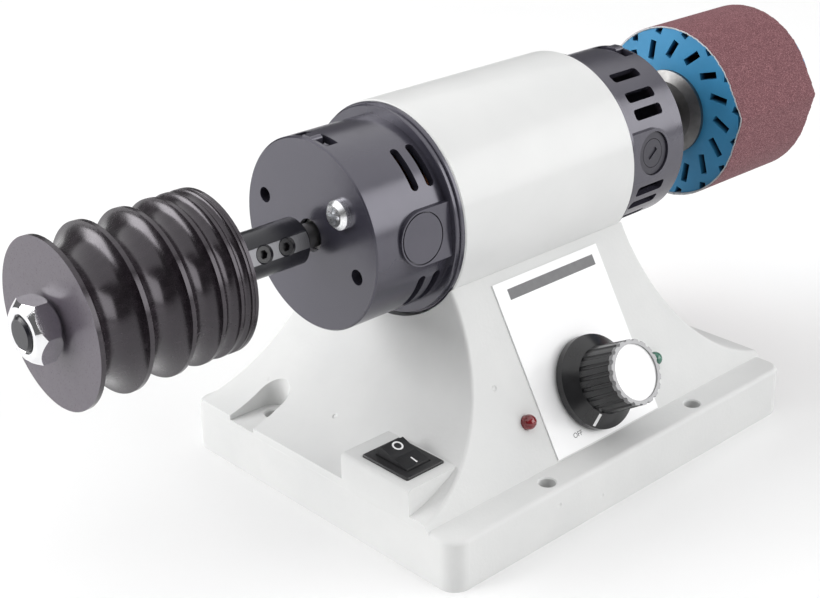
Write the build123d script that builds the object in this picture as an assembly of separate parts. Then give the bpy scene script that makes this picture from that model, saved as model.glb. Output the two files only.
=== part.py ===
from build123d import *
import math
import os

# Leather polishing machine: a cast base with a sloped control panel carries a double-ended
# motor, with a grooved polishing wheel on its left end and a sanding drum on its right end.
# Millimetres. The origin is the centre of the base's underside, +X runs along the spindle
# towards the drum, -Y is the side of the control panel and +Z is up.

# Clearances
FIT = 0.02  # radial gap of parts pressed or screwed together
RUN = 0.05  # radial gap of a running fit
LOOSE = 0.3  # gap of a screw in its clearance hole, or of a cover in its opening
REACH = 400.0  # longer than the machine, for cuts that go right through

# Heads of cross-recessed screws, as shares of the head's height or radius
HEAD_DOME = 0.45
CROSS_SPAN = 1.1
CROSS_SLOT = 0.22
CROSS_DEPTH = 0.6

# Base casting
BASE_LENGTH = 165.0
BASE_WIDTH = 130.0
BASE_HEIGHT = 17.5
BASE_CORNER = 6.0
BASE_EDGE = 1.5
WALL = 4.0
FRONT_LEDGE = 11.1
REAR_LEDGE = 5.0
PANEL_LEAN = 30.0
REAR_LEAN = 20.0
PEDESTAL_TOP = 83.0  # length of the pedestal's top along the spindle
PEDESTAL_ROOT = 1.0  # how far the pedestal is rooted in the plate
PEDESTAL_EDGE = 1.2
FLARE_RADIUS = 52.0
FLARE_FOOT = 1.8  # height of the flare's foot above the plate, at the base's ends
SADDLE_WALL = 5.0
SADDLE_DROP = 14.0  # from the motor axis down to the tips of the saddle

# Bench bolts, bottom cover and cord bushing
FRONT_BOLT_SPACING = 73.0
FRONT_BOLT_INSET = 5.5
REAR_BOLT_INSET = 13.2
REAR_BOLT_Y = 36.6
BENCH_HOLE = 5.5
BENCH_HOLE_CHAMFER = 0.4
BOLT_BOSS = 13.0
POCKET_WIDTH = 12.8
POCKET_WALL = 3.0
COVER_RECESS = 2.0
COVER_THICKNESS = 1.5
COVER_BOSS = 9.0
COVER_BOSS_INSET = 7.0
COVER_SCREW = 3.0
COVER_SCREW_HEAD = 5.6
COVER_SCREW_HEAD_HEIGHT = 1.7
COVER_SCREW_GRIP = 8.0
BUSHING_X = 45.0
BUSHING_Z = 9.0
BUSHING_NECK = 10.0
BUSHING_COLLAR = 13.0
BUSHING_COLLAR_DEPTH = 2.5
BUSHING_ROUND = 1.0
BUSHING_TAIL = 8.8
BUSHING_TAIL_DEPTH = 1.5
CORD_BORE = 6.0

# Motor housing
AXIS_Y = 7.4
AXIS_Z = 91.9
SLEEVE_LENGTH = 80.0
SLEEVE_RADIUS = 35.2
SLEEVE_WALL = 2.0
SLEEVE_EDGE = 0.4
CAP_STEP = 4.3  # from the sleeve's outside down to the cap's
CAP_DEPTH = 32.4  # from the sleeve's end to the cap's face
CAP_WALL = 2.4
CAP_EDGE = 0.5
CAP_SPIGOT = 4.0
LEFT_FLANGE_STEP = 0.4  # from the sleeve's outside down to the flange's
LEFT_FLANGE_THICKNESS = 3.0
LEFT_FLANGE_RIM = 1.4  # thickness of the flange's outer step
LEFT_FLANGE_RIM_STEP = 0.7
RIGHT_FLANGE_STEP = 0.8
RIGHT_FLANGE_THICKNESS = 2.0
FLANGE_BEVEL = 0.3
CAP_TURN = 4.7  # the caps' brush line is turned up this far at the front
SHAFT_HOLE_GAP = 1.3
PAD_INSET = 17.9  # from the cap's face to the middle of the round pad
PAD_HALF_WIDTH = 8.7
PAD_PROUD = 0.9  # from the cap's outside up to the pad's flat face
PLUG_RADIUS = 8.2
PLUG_THICKNESS = 1.6
PLUG_GROOVE = 0.4
PLUG_GROOVE_DEPTH = 0.9
TOP_SLOT_WIDTH = 15.7
TOP_SLOT_LENGTH = 4.7
TOP_SLOT_INSET = 1.5
TOP_LUG_WIDTH = 5.0
TOP_LUG_LENGTH = 3.2
TOP_LUG_PROUD = 0.7
TOP_LUG_ROUND = 1.2
ARC_VENT_START = 26.0
ARC_VENT_END = 54.0
ARC_VENT_WIDTH = 3.0
ARC_VENT_INSETS = (20.1, 26.3)
AXIAL_VENT_ANGLES = (26.3, 38.5, 54.9)
AXIAL_VENT_LENGTH = 14.0
AXIAL_VENT_WIDTH = 4.0
AXIAL_VENT_INSET = 15.6
AXIAL_VENT_CORNER = 1.2

# Motor fasteners
MOUNT_SCREW = 4.0
MOUNT_SCREW_HEAD = 7.0
MOUNT_SCREW_HEAD_HEIGHT = 2.6
MOUNT_SCREW_SPACING = 30.0
MOUNT_SCREW_GRIP = 13.0
BOLT_CIRCLE = 22.85
BOLT_ANGLE = -19.5
BOLT = 4.0
BOLT_HEAD = 7.4
BOLT_HEAD_HEIGHT = 2.8
BOLT_POST = 7.2
BOLT_TIP_DEPTH = 3.0  # how deep the bolt's tip lies below the left cap's face
BOLT_OPENING = 5.0
RETAINER_SCREW_CIRCLE = 18.9
RETAINER_SCREW_ANGLE = 35.6
RETAINER_SCREW = 5.0
RETAINER_SCREW_HEAD = 9.2
RETAINER_SCREW_HEAD_HEIGHT = 3.0
RETAINER_POST = 7.4
RETAINER_THICKNESS = 1.5
RETAINER_RADIUS = 15.5
RETAINER_LIP = 0.5  # how far the retainer reaches over the bearing's outer ring

# Stator and armature
STACK_LENGTH = 50.0
YOKE_WALL = 7.7
STATOR_BORE_RADIUS = 18.6
SHOE_OUTER_RADIUS = 21.2
SHOE_HALF_ANGLE = 55.0
POLE_WIDTH = 20.0
COIL_OVERHANG = 8.0
COIL_HALF_ANGLE = 54.0
AIR_GAP = 0.5
ARMATURE_SLOTS = 12
ARMATURE_SLOT_CIRCLE = 13.8
ARMATURE_SLOT_RADIUS = 2.1
ARMATURE_SLOT_MOUTH = 1.4
WINDING_INNER_RADIUS = 7.5
WINDING_GAP = 2.2
WINDING_OVERHANG = 9.0
WINDING_ROUND = 2.6
COMMUTATOR_RADIUS = 11.0
COMMUTATOR_LENGTH = 17.0
RISER_RADIUS = 13.0
RISER_LENGTH = 2.0
COMMUTATOR_BARS = 24
BAR_GROOVE = 0.5
FAN_TIP_GAP = 0.85
FAN_END_GAP = 1.0
FAN_HUB_RADIUS = 8.0
FAN_LENGTH = 14.0
FAN_BLADES = 9
FAN_SHEET = 1.5

# Brushes
HOLDER_RADIUS = 5.9
HOLDER_COLLAR_RADIUS = 7.3
HOLDER_COLLAR_THICKNESS = 1.6
HOLDER_SETBACK = 2.0  # from the commutator to the inner end of the holder
HOLDER_BOSS_RADIUS = 8.4
HOLDER_BOSS_DEPTH = 8.4
BRUSH_RECESS_DEPTH = 0.8
BRUSH_SIDE = 5.8
BRUSH_LENGTH = 12.0
BRUSH_CAP_RADIUS = 4.9
BRUSH_CAP_PLUG_RADIUS = 4.1
BRUSH_CAP_THICKNESS = 1.1
BRUSH_CAP_PLUG_LENGTH = 1.6
BRUSH_CAP_SLOT = 1.6
BRUSH_CAP_TURN = 35.0
BRUSH_CAP_GAP = 0.2
SPRING_RADIUS = 2.6
SPRING_WIRE = 0.6

# Ball bearings, size 10 x 26 x 8
BEARING_BORE_RADIUS = 5.0
BEARING_OUTER_RADIUS = 13.0
BEARING_WIDTH = 8.0
BEARING_PITCH_RADIUS = 9.0
BALL_RADIUS = 2.38
BALLS = 7
RACE_SHOULDER = 2.0  # radial distance from the pitch circle to each ring's shoulder
CAGE_HALF_DEPTH = 0.8
CAGE_WIDTH = 5.4
SHIELD_THICKNESS = 0.3
SHIELD_INSET = 0.2
BEARING_SEAT_WALL = 3.0
SEAT_RELIEF = 0.5  # depth of the hollow behind the bearing's inner ring

# Shaft ends, adapters, wheel and drum
SHAFT_END_RADIUS = 4.0
JOURNAL_PROUD = 0.3  # how far the bearing's journal reaches past the bearing
ADAPTER_GAP = 4.8  # from the cap's face to the adapter
SHAFT_GRIP = 20.0  # length of shaft inside the adapter
ADAPTER_RADIUS = 7.5
ADAPTER_CHAMFER = 1.4
ADAPTER_FLAT_ANGLE = 18.0
ADAPTER_FLAT_DEPTH = 0.4
LEFT_ADAPTER_LENGTH = 34.2
RIGHT_ADAPTER_LENGTH = 25.8
SET_SCREW_RADIUS = 2.5
SET_SCREW_SINK = 0.6
SET_SCREW_SOCKET = 2.5
SET_SCREW_SOCKET_DEPTH = 1.6
LEFT_SET_SCREWS = (9.3, 17.7)  # from the adapter's near end
RIGHT_SET_SCREWS = (5.5, 14.0)
STUD_RADIUS = 5.0
STUD_PROUD = 0.8
STUD_CHAMFER = 0.7
NUT_ACROSS_FLATS = 17.0
NUT_HEIGHT = 8.4
NUT_FACE_RADIUS = 7.5
NUT_MOUTH_RADIUS = 5.7
NUT_TURN = 27.6
WHEEL_RADIUS = 25.0
WHEEL_RIM = 1.5
WHEEL_GROOVES = (13.7, 12.4, 8.8, 5.1, 2.8)
WHEEL_LANDS = (1.4, 1.3, 1.2, 1.0)
GROOVE_DEPTH_SHARE = 0.85  # groove depth over half its width
FINE_GROOVE = 0.6
FINE_LAND = 0.5
WHEEL_TAIL = 1.1
FLANGE_RADIUS = 16.0
FLANGE_TOP_RADIUS = 12.3
FLANGE_THICKNESS = 3.2
FLANGE_RIM = 1.4
DRUM_RADIUS = 31.6
DRUM_LENGTH = 46.0
DRUM_SLOTS = 16
DRUM_SLOT_RADIUS = 24.0
DRUM_SLOT_LENGTH = 7.4
DRUM_SLOT_WIDTH = 2.6
DRUM_SLOT_TILT = 30.0
DRUM_NOTCH_DEPTH = 2.2
DRUM_NOTCH_WIDTH = 2.6
BELT_WIDTH = 47.0
BELT_THICKNESS = 0.7
BELT_SKEW = 2.0  # how much further out the belt stands at the front
BELT_CREASE = 34.9  # from the motor axis to the fold in the belt
BELT_CREASE_ANGLE = 7.0
WASHER_THICKNESS = 2.0

# Control panel
PLATE_WIDTH = 50.0
PLATE_THICKNESS = 0.5
PLATE_FOOT = 0.6
PLATE_TOP_GAP = 3.6  # along the panel, from the plate's top edge to the sleeve
KNOB_RISE = 18.3
LAMP_RISE = 16.0
LAMP_SPACING = 62.8
LAMP_RADIUS = 2.45
LAMP_FLANGE_RADIUS = 2.9
LAMP_FLANGE = 1.0
LAMP_COLLAR = 1.1
LAMP_LEAD = 0.5
LAMP_LEAD_LENGTH = 10.0
LAMP_LEAD_PITCH = 2.54
POT_RADIUS = 8.2
POT_DEPTH = 9.0
POT_BUSHING_RADIUS = 3.5
POT_BUSHING_LENGTH = 3.6
POT_SHAFT_RADIUS = 3.0
POT_SHAFT_SINK = 6.0
POT_LUG = (1.2, 4.0, 1.0)
POT_LUG_PITCH = 4.8
POT_NUT_ACROSS_FLATS = 10.0
POT_NUT_HEIGHT = 2.0
POT_NUT_FACE_RADIUS = 4.9
POT_NUT_MOUTH_RADIUS = 3.8
KNOB_CLEARANCE = 0.9
KNOB_SKIRT_RADIUS = 15.8
KNOB_SKIRT_RIM = 2.7
KNOB_CONE = 3.3
KNOB_ROOT_RADIUS = 11.3
KNOB_TIP_RADIUS = 10.7
KNOB_BARREL = 13.0
KNOB_FLUTES = 20
KNOB_FLUTE_RADIUS = 0.9
KNOB_FLUTE_DEPTH = 0.5
KNOB_HOLLOW_RADIUS = 8.6
KNOB_HOLLOW_DEPTH = 4.5
KNOB_CAP_THICKNESS = 1.6
KNOB_CAP_FACE_RADIUS = 9.2
KNOB_CAP_RECESS = 0.6
SHAFT_STOP = 2.6  # from the end of the knob's bore to the cap

# Rocker switch
SWITCH_INSET = 11.1
SWITCH_Y = -31.5
BLOCK_Y = -30.5
BLOCK_TOP = 28.4
BLOCK_WIDTH = 31.0
BLOCK_ROOF = 2.5
BEZEL_WIDTH = 15.5
BEZEL_LENGTH = 20.6
BEZEL_HEIGHT = 0.8
BEZEL_CORNER = 0.6
BEZEL_CHAMFER = 0.25
HOUSING_WIDTH = 13.0
HOUSING_LENGTH = 19.0
HOUSING_DEPTH = 13.5
ROCKER_RADIUS = 7.0
ROCKER_WIDTH = 9.2
ROCKER_PIVOT = -0.7  # height of the pin above the block's top
ROCKER_CROWN = 3.2
ROCKER_DIP = 4.0
ROCKER_TILT = 14.5
ROCKER_DEPTH = 4.0
ROCKER_GAP = 0.3
PIN_RADIUS = 1.0
PIN_LENGTH = 0.9
TERMINAL_WIDTH = 4.8
TERMINAL_THICKNESS = 0.8
TERMINAL_LENGTH = 8.0
TERMINAL_PITCH = 9.0

# Control board
BOARD_LENGTH = 65.0
BOARD_WIDTH = 50.0
BOARD_THICKNESS = 1.6
BOARD_X = 10.0
BOARD_Y = 14.0
BOARD_HOLE_INSET = 4.0
STANDOFF_HEIGHT = 6.0
STANDOFF_ACROSS_FLATS = 5.5
BOARD_SCREW = 3.0
BOARD_SCREW_HEAD = 5.4
BOARD_SCREW_HEAD_HEIGHT = 1.8
SINK_WIDTH = 24.0
SINK_HEIGHT = 24.0
SINK_BASE = 3.0
SINK_FINS = 6
SINK_FIN_DEPTH = 9.0
SINK_FIN = 1.2
TRIAC = (10.0, 4.4, 15.0)
CAPACITOR = (18.0, 8.0, 14.0)
CAPACITOR_CORNER = 1.0
CHOKE_RADIUS = 6.8
CHOKE_SECTION = 3.2
STRIP = (8.0, 20.0, 10.0)
STRIP_PITCH = 6.25
STRIP_WELL_RADIUS = 2.0
STRIP_WELL_DEPTH = 5.0

# Places of the board's parts, from the board's middle
SINK_SPOT = (11.5, 7.5)
CAPACITOR_SPOT = (-16.0, -10.0)
CHOKE_SPOT = (11.5, -11.0)
STRIP_SPOT = (-20.0, 9.0)

# Places worked out from the sizes above
BASE_END = BASE_LENGTH / 2
BASE_SIDE = BASE_WIDTH / 2
COVER_TOP = COVER_RECESS + COVER_THICKNESS
FLARE_CENTRE_X = PEDESTAL_TOP / 2 + FLARE_RADIUS
FLARE_DROP = math.sqrt(FLARE_RADIUS ** 2 - (FLARE_CENTRE_X - BASE_END) ** 2)
FLARE_CENTRE_Z = BASE_HEIGHT + FLARE_FOOT + FLARE_DROP
SLEEVE_END = SLEEVE_LENGTH / 2
SLEEVE_BORE = SLEEVE_RADIUS - SLEEVE_WALL
LEFT_FLANGE_RADIUS = SLEEVE_RADIUS - LEFT_FLANGE_STEP
RIGHT_FLANGE_RADIUS = SLEEVE_RADIUS - RIGHT_FLANGE_STEP
YOKE_INNER_RADIUS = SLEEVE_BORE - YOKE_WALL
CAP_RADIUS = SLEEVE_RADIUS - CAP_STEP
CAP_FACE = SLEEVE_END + CAP_DEPTH
CAP_INSIDE = CAP_FACE - CAP_WALL
CAP_BORE = CAP_RADIUS - CAP_WALL
PAD_X = CAP_FACE - PAD_INSET
PAD_DISTANCE = CAP_RADIUS + PAD_PROUD
BEARING_INNER_FACE = CAP_INSIDE - BEARING_WIDTH
SHAFT_HOLE_RADIUS = SHAFT_END_RADIUS + SHAFT_HOLE_GAP
RETAINER_BORE_RADIUS = BEARING_PITCH_RADIUS + RACE_SHOULDER - RETAINER_LIP
WINDING_OUTER_RADIUS = STATOR_BORE_RADIUS - WINDING_GAP
FAN_RADIUS = BOLT_CIRCLE - BOLT_POST / 2 - FAN_TIP_GAP
ADAPTER_NEAR = CAP_FACE + ADAPTER_GAP
WHEEL_SEAT = ADAPTER_NEAR + LEFT_ADAPTER_LENGTH
WHEEL_LENGTH = WHEEL_RIM + sum(WHEEL_GROOVES) + sum(WHEEL_LANDS)
WHEEL_LENGTH += FINE_LAND + FINE_GROOVE + WHEEL_TAIL
WHEEL_FACE = WHEEL_SEAT + WHEEL_LENGTH
DRUM_SEAT = ADAPTER_NEAR + RIGHT_ADAPTER_LENGTH
DRUM_END = DRUM_SEAT + DRUM_LENGTH
RACE_RADIUS = BALL_RADIUS + RUN
STACK_END = STACK_LENGTH / 2
SWITCH_X = -BASE_END + SWITCH_INSET
KNOB_FOOT = PLATE_THICKNESS + KNOB_CLEARANCE
KNOB_SHOULDER = KNOB_FOOT + KNOB_SKIRT_RIM + KNOB_CONE
KNOB_TOP = KNOB_SHOULDER + KNOB_BARREL
KNOB_CAP_TOP = KNOB_TOP + KNOB_CAP_THICKNESS
BOARD_BOTTOM = COVER_TOP + STANDOFF_HEIGHT
BOARD_TOP = BOARD_BOTTOM + BOARD_THICKNESS

LEAN = math.radians(PANEL_LEAN)
PANEL_FOOT = (0, FRONT_LEDGE - BASE_SIDE, BASE_HEIGHT)
PANEL = Plane(PANEL_FOOT, (1, 0, 0), (0, -math.cos(LEAN), math.sin(LEAN)))
AXIS_RISE = (AXIS_Y - PANEL_FOOT[1]) * math.sin(LEAN) + (AXIS_Z - BASE_HEIGHT) * math.cos(LEAN)
AXIS_DEPTH = (AXIS_Y - PANEL_FOOT[1]) * math.cos(LEAN) - (AXIS_Z - BASE_HEIGHT) * math.sin(LEAN)
PANEL_TOP = AXIS_RISE - math.sqrt(SLEEVE_RADIUS ** 2 - AXIS_DEPTH ** 2)
PLATE_HEIGHT = PANEL_TOP - PLATE_TOP_GAP - PLATE_FOOT
BACK_LEAN = math.radians(REAR_LEAN)
BACK_FOOT = (0, BASE_SIDE - REAR_LEDGE, BASE_HEIGHT)
BACK = Plane(BACK_FOOT, (-1, 0, 0), (0, math.cos(BACK_LEAN), math.sin(BACK_LEAN)))
KNOB_PLACE = PANEL * Pos(0, KNOB_RISE, 0)
SWITCH_PLACE = Pos(SWITCH_X, SWITCH_Y, BLOCK_TOP)
BENCH_HOLES = [
    (-FRONT_BOLT_SPACING / 2, FRONT_BOLT_INSET - BASE_SIDE),
    (FRONT_BOLT_SPACING / 2, FRONT_BOLT_INSET - BASE_SIDE),
    (REAR_BOLT_INSET - BASE_END, REAR_BOLT_Y),
    (BASE_END - REAR_BOLT_INSET, REAR_BOLT_Y),
]
COVER_EDGE_X = BASE_END - WALL - COVER_BOSS_INSET
COVER_EDGE_Y = BASE_SIDE - WALL - COVER_BOSS_INSET
COVER_SCREWS = [(x, side * COVER_EDGE_Y) for x in (-COVER_EDGE_X, 0, COVER_EDGE_X) for side in (-1, 1)]
BOARD_HOLE_X = BOARD_LENGTH / 2 - BOARD_HOLE_INSET
BOARD_HOLE_Y = BOARD_WIDTH / 2 - BOARD_HOLE_INSET
BOARD_HOLES = [
    (BOARD_X + end * BOARD_HOLE_X, BOARD_Y + side * BOARD_HOLE_Y) for end in (-1, 1) for side in (-1, 1)
]


def save(name, *shapes):
    """Write one node: a single solid, or like solids as a group."""
    solids = [solid for shape in shapes for solid in shape.solids()]
    export_step(solids[0] if len(solids) == 1 else Compound(solids), "parts/" + name + ".step")


def block(x0, x1, y0, y1, z0, z1):
    """A box between six planes."""
    return Pos((x0 + x1) / 2, (y0 + y1) / 2, (z0 + z1) / 2) * Box(x1 - x0, y1 - y0, z1 - z0)


def post(x, y, z0, z1, radius):
    """An upright cylinder."""
    return Pos(x, y, (z0 + z1) / 2) * Cylinder(radius, z1 - z0)


def rod(x0, x1, radius):
    """A cylinder along the motor axis, in the motor's own frame."""
    return Pos((x0 + x1) / 2, 0, 0) * Rot(0, 90, 0) * Cylinder(radius, abs(x1 - x0))


def ring(x0, x1, outer, inner):
    """A tube along the motor axis."""
    return rod(x0, x1, outer) - rod(x0, x1, inner)


def lathe(*points):
    """A closed outline of (x, radius) points turned about the motor axis."""
    return revolve(make_face(Polyline(*points, close=True)), Axis.X)


def upright_lathe(*points):
    """A closed outline of (radius, z) points turned about Z."""
    return revolve(make_face(Plane.XZ * Polyline(*points, close=True)), Axis.Z)


def at_angle(angle, shape):
    """Turn a shape that points up so that it points at an angle: 0 is the front, 90 is up."""
    return Rot(90 - angle, 0, 0) * shape


def off_axis(angle, radius, shape):
    """Move a shape on the motor axis out to a radius at an angle."""
    turn = math.radians(angle)
    return Pos(0, -radius * math.cos(turn), radius * math.sin(turn)) * shape


def across(shape, length):
    """A sketch drawn in (Y, Z), extruded along the motor axis about the middle."""
    return Pos(-length / 2, 0, 0) * extrude(Plane.YZ * shape, length)


def wedge(half_angle, radius):
    """A triangle that spreads by the half angle each side of straight up."""
    spread = radius * math.sin(math.radians(half_angle))
    rise = radius * math.cos(math.radians(half_angle))
    return make_face(Polyline((0, 0), (spread, rise), (-spread, rise), close=True))


def hexagon(across_flats, height, bore, face, mouth):
    """A nut along Z, bevelled down to a round face and into its bore at both ends."""
    corner = across_flats / math.sqrt(3)
    drop = corner - face
    sink = mouth - bore
    body = extrude(RegularPolygon(corner, 6), height)
    turned = upright_lathe(
        (mouth, 0), (face, 0), (corner, drop), (corner, height - drop), (face, height), (mouth, height),
        (bore, height - sink), (bore, sink),
    )
    return body & turned


def pan_screw(radius, length, head_radius, head_height):
    """A screw along -Z whose head stands on Z = 0."""
    dome = head_height * HEAD_DOME
    outline = upright_lathe(
        (0, -length), (radius, -length), (radius, 0), (head_radius, 0),
        (head_radius, head_height - dome), (head_radius - dome, head_height), (0, head_height),
    )
    arm = head_radius * CROSS_SPAN
    slot = head_radius * CROSS_SLOT
    depth = head_height * CROSS_DEPTH
    recess = Box(arm, slot, 2 * depth) + Box(slot, arm, 2 * depth)
    return outline - Pos(0, 0, head_height) * recess


def on_motor(*shapes):
    """Bring shapes from the motor's frame into the machine's."""
    return [Pos(0, AXIS_Y, AXIS_Z) * shape for shape in shapes]


def both_sides(shape):
    """A shape and its mirror image in the plane between the two ends."""
    return [shape, mirror(shape, Plane.YZ)]


def flare_z(x, radius):
    """Height of a flare of the given radius at x."""
    return FLARE_CENTRE_Z - math.sqrt(radius ** 2 - (FLARE_CENTRE_X - abs(x)) ** 2)


def flared_prism(end, radius, bottom):
    """The pedestal's section, flared by an arc at each side, carried along Y."""
    half = FLARE_CENTRE_X - radius
    foot = flare_z(end, radius)
    middle = math.radians(225)
    bulge_x = FLARE_CENTRE_X + radius * math.cos(middle)
    bulge_z = FLARE_CENTRE_Z + radius * math.sin(middle)
    outline = Polyline((-end, foot), (-end, bottom), (end, bottom), (end, foot))
    outline += ThreePointArc((end, foot), (bulge_x, bulge_z), (half, FLARE_CENTRE_Z))
    outline += Polyline((half, FLARE_CENTRE_Z), (half, AXIS_Z), (-half, AXIS_Z), (-half, FLARE_CENTRE_Z))
    outline += ThreePointArc((-half, FLARE_CENTRE_Z), (-bulge_x, bulge_z), (-end, foot))
    return Pos(0, REACH / 2, 0) * extrude(Plane.XZ * make_face(outline), REACH)


def between_planes(shape, inset):
    """Keep what lies behind the panel's plane and in front of the back's, both moved inwards."""
    beyond = Pos(0, 0, REACH / 2 - inset) * Box(REACH, REACH, REACH)
    return shape - PANEL * beyond - BACK * beyond


def slot_outline(x, reach, half_width):
    """A slot from a bench hole outwards, past the near end of the base."""
    outward = math.copysign(reach, x)
    run = Pos(x + outward / 2, REAR_BOLT_Y) * Rectangle(reach, 2 * half_width)
    return Pos(x, REAR_BOLT_Y) * Circle(half_width) + run


def base_outside():
    """The casting's outer form: plate, pedestal and switch block, before it is hollowed."""
    outline = RectangleRounded(BASE_LENGTH, BASE_WIDTH, BASE_CORNER)
    plate = extrude(outline, BASE_HEIGHT)
    plate = fillet(plate.faces().sort_by(Axis.Z)[-1].edges(), BASE_EDGE)
    pedestal = between_planes(flared_prism(BASE_END, FLARE_RADIUS, BASE_HEIGHT - PEDESTAL_ROOT), 0)
    slanted = [edge for edge in pedestal.edges() if edge.geom_type not in (GeomType.LINE, GeomType.CIRCLE)]
    pedestal = fillet(slanted, PEDESTAL_EDGE)
    pedestal -= block(-REACH, REACH, -REACH, REACH, AXIS_Z - SADDLE_DROP, REACH)
    inner_end = FLARE_CENTRE_X - math.sqrt(FLARE_RADIUS ** 2 - (FLARE_CENTRE_Z - BLOCK_TOP) ** 2)
    half = BLOCK_WIDTH / 2
    foot = BASE_HEIGHT - PEDESTAL_ROOT
    switch_block = block(-BASE_END, -inner_end, BLOCK_Y - half, BLOCK_Y + half, foot, BLOCK_TOP)
    end_face = switch_block.faces().sort_by(Axis.X)[0]
    switch_block = fillet(end_face.edges().filter_by(Axis.Y).sort_by(Axis.Z)[-1], BASE_EDGE)
    return (plate + pedestal + switch_block) & extrude(outline, REACH)


def base_hollow():
    """The space inside the casting, open at the bottom."""
    room = block(WALL - BASE_END, BASE_END - WALL, WALL - BASE_SIDE, BASE_SIDE - WALL, 0, AXIS_Z)
    under = between_planes(flared_prism(BASE_END - WALL, FLARE_RADIUS + WALL, 0), WALL) & room
    roof = Pos(0, AXIS_Y, AXIS_Z) * rod(-REACH / 2, REACH / 2, SLEEVE_RADIUS + SADDLE_WALL)
    plate = room & block(-BASE_END, BASE_END, -BASE_SIDE, BASE_SIDE, 0, BASE_HEIGHT - WALL)
    well_x = SWITCH_X - BEZEL_WIDTH / 2
    well = block(
        well_x, SWITCH_X + HOUSING_WIDTH / 2 + LOOSE,
        BLOCK_Y - BLOCK_WIDTH / 2 + WALL, BLOCK_Y + BLOCK_WIDTH / 2 - WALL, 0, BLOCK_TOP - BLOCK_ROOF,
    )
    return (under - roof) + plate + well


def base_casting():
    outside = base_outside()
    casting = outside - base_hollow()
    bosses = [post(x, y, 0, BASE_HEIGHT, BOLT_BOSS / 2) for x, y in BENCH_HOLES]
    bosses += [post(x, y, COVER_TOP, BASE_HEIGHT - WALL / 2, COVER_BOSS / 2) for x, y in COVER_SCREWS]
    for x, y in BENCH_HOLES[2:]:
        walls = extrude(slot_outline(x, REAR_BOLT_INSET, POCKET_WIDTH / 2 + POCKET_WALL), AXIS_Z)
        bosses.append(walls - block(-BASE_END, BASE_END, -BASE_SIDE, BASE_SIDE, 0, BASE_HEIGHT - WALL))
    casting += [boss & outside for boss in bosses]
    cuts = [Pos(0, AXIS_Y, AXIS_Z) * rod(-REACH / 2, REACH / 2, SLEEVE_RADIUS + FIT)]
    for x, y in BENCH_HOLES:
        radius = BENCH_HOLE / 2
        chamfer = BENCH_HOLE_CHAMFER
        cuts.append(post(x, y, 0, BASE_HEIGHT, radius))
        cuts.append(Pos(x, y, BASE_HEIGHT - chamfer / 2) * Cone(radius, radius + chamfer, chamfer))
    for x, y in BENCH_HOLES[2:]:
        pocket = extrude(slot_outline(x, 2 * REAR_BOLT_INSET, POCKET_WIDTH / 2), AXIS_Z)
        cuts.append(Pos(0, 0, BASE_HEIGHT) * pocket)
    for x, y in COVER_SCREWS:
        cuts.append(post(x, y, COVER_TOP, COVER_TOP + COVER_SCREW_GRIP + LOOSE, COVER_SCREW / 2 + FIT))
    cuts.append(SWITCH_PLACE * Box(HOUSING_WIDTH + LOOSE, HOUSING_LENGTH + LOOSE, 4 * BLOCK_ROOF))
    cuts.append(KNOB_PLACE * Cylinder(POT_BUSHING_RADIUS + LOOSE / 2, 4 * WALL))
    for side in (-1, 1):
        lamp = PANEL * Pos(side * LAMP_SPACING / 2, LAMP_RISE, 0)
        cuts.append(lamp * Cylinder(LAMP_RADIUS + RUN, 4 * WALL))
        cuts.append(post(side * MOUNT_SCREW_SPACING / 2, AXIS_Y, 0, AXIS_Z, MOUNT_SCREW / 2 + LOOSE))
    bushing = Pos(BUSHING_X, BASE_SIDE, BUSHING_Z) * Rot(90, 0, 0)
    cuts.append(bushing * Cylinder(BUSHING_NECK / 2 + RUN, 4 * WALL))
    return casting - cuts


def bottom_cover():
    length = BASE_LENGTH - 2 * (WALL + LOOSE)
    width = BASE_WIDTH - 2 * (WALL + LOOSE)
    cover = Pos(0, 0, COVER_RECESS) * extrude(Rectangle(length, width), COVER_THICKNESS)
    for x, y in BENCH_HOLES:
        cover -= post(x, y, 0, BASE_HEIGHT, BOLT_BOSS / 2 + LOOSE)
    for x, y in COVER_SCREWS:
        cover -= post(x, y, 0, BASE_HEIGHT, COVER_SCREW / 2 + LOOSE)
    return cover


def cover_screws():
    reach = COVER_THICKNESS + COVER_SCREW_GRIP
    screw = pan_screw(COVER_SCREW / 2, reach, COVER_SCREW_HEAD / 2, COVER_SCREW_HEAD_HEIGHT)
    return [Pos(x, y, COVER_RECESS) * Rot(180, 0, 0) * screw for x, y in COVER_SCREWS]


def cord_bushing():
    """A flanged bushing pressed into the rear wall from outside, for the mains cord."""
    neck = BUSHING_NECK / 2
    tail = BUSHING_TAIL / 2
    collar = BUSHING_COLLAR / 2
    bore = CORD_BORE / 2
    inner = -WALL - BUSHING_TAIL_DEPTH
    body = upright_lathe(
        (bore, inner), (tail, inner), (tail, -WALL), (neck, -WALL), (neck, 0), (collar, 0),
        (collar, BUSHING_COLLAR_DEPTH - BUSHING_ROUND), (collar - BUSHING_ROUND, BUSHING_COLLAR_DEPTH),
        (bore, BUSHING_COLLAR_DEPTH),
    )
    return Pos(BUSHING_X, BASE_SIDE, BUSHING_Z) * Rot(-90, 0, 0) * body


def motor_sleeve():
    sleeve = ring(-SLEEVE_END, SLEEVE_END, SLEEVE_RADIUS, SLEEVE_BORE)
    sleeve = chamfer(sleeve.edges().filter_by(GeomType.CIRCLE), SLEEVE_EDGE)
    for side in (-1, 1):
        x = side * MOUNT_SCREW_SPACING / 2
        sleeve -= post(x, 0, -AXIS_Z, 0, MOUNT_SCREW / 2 + LOOSE)
    return sleeve


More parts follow.
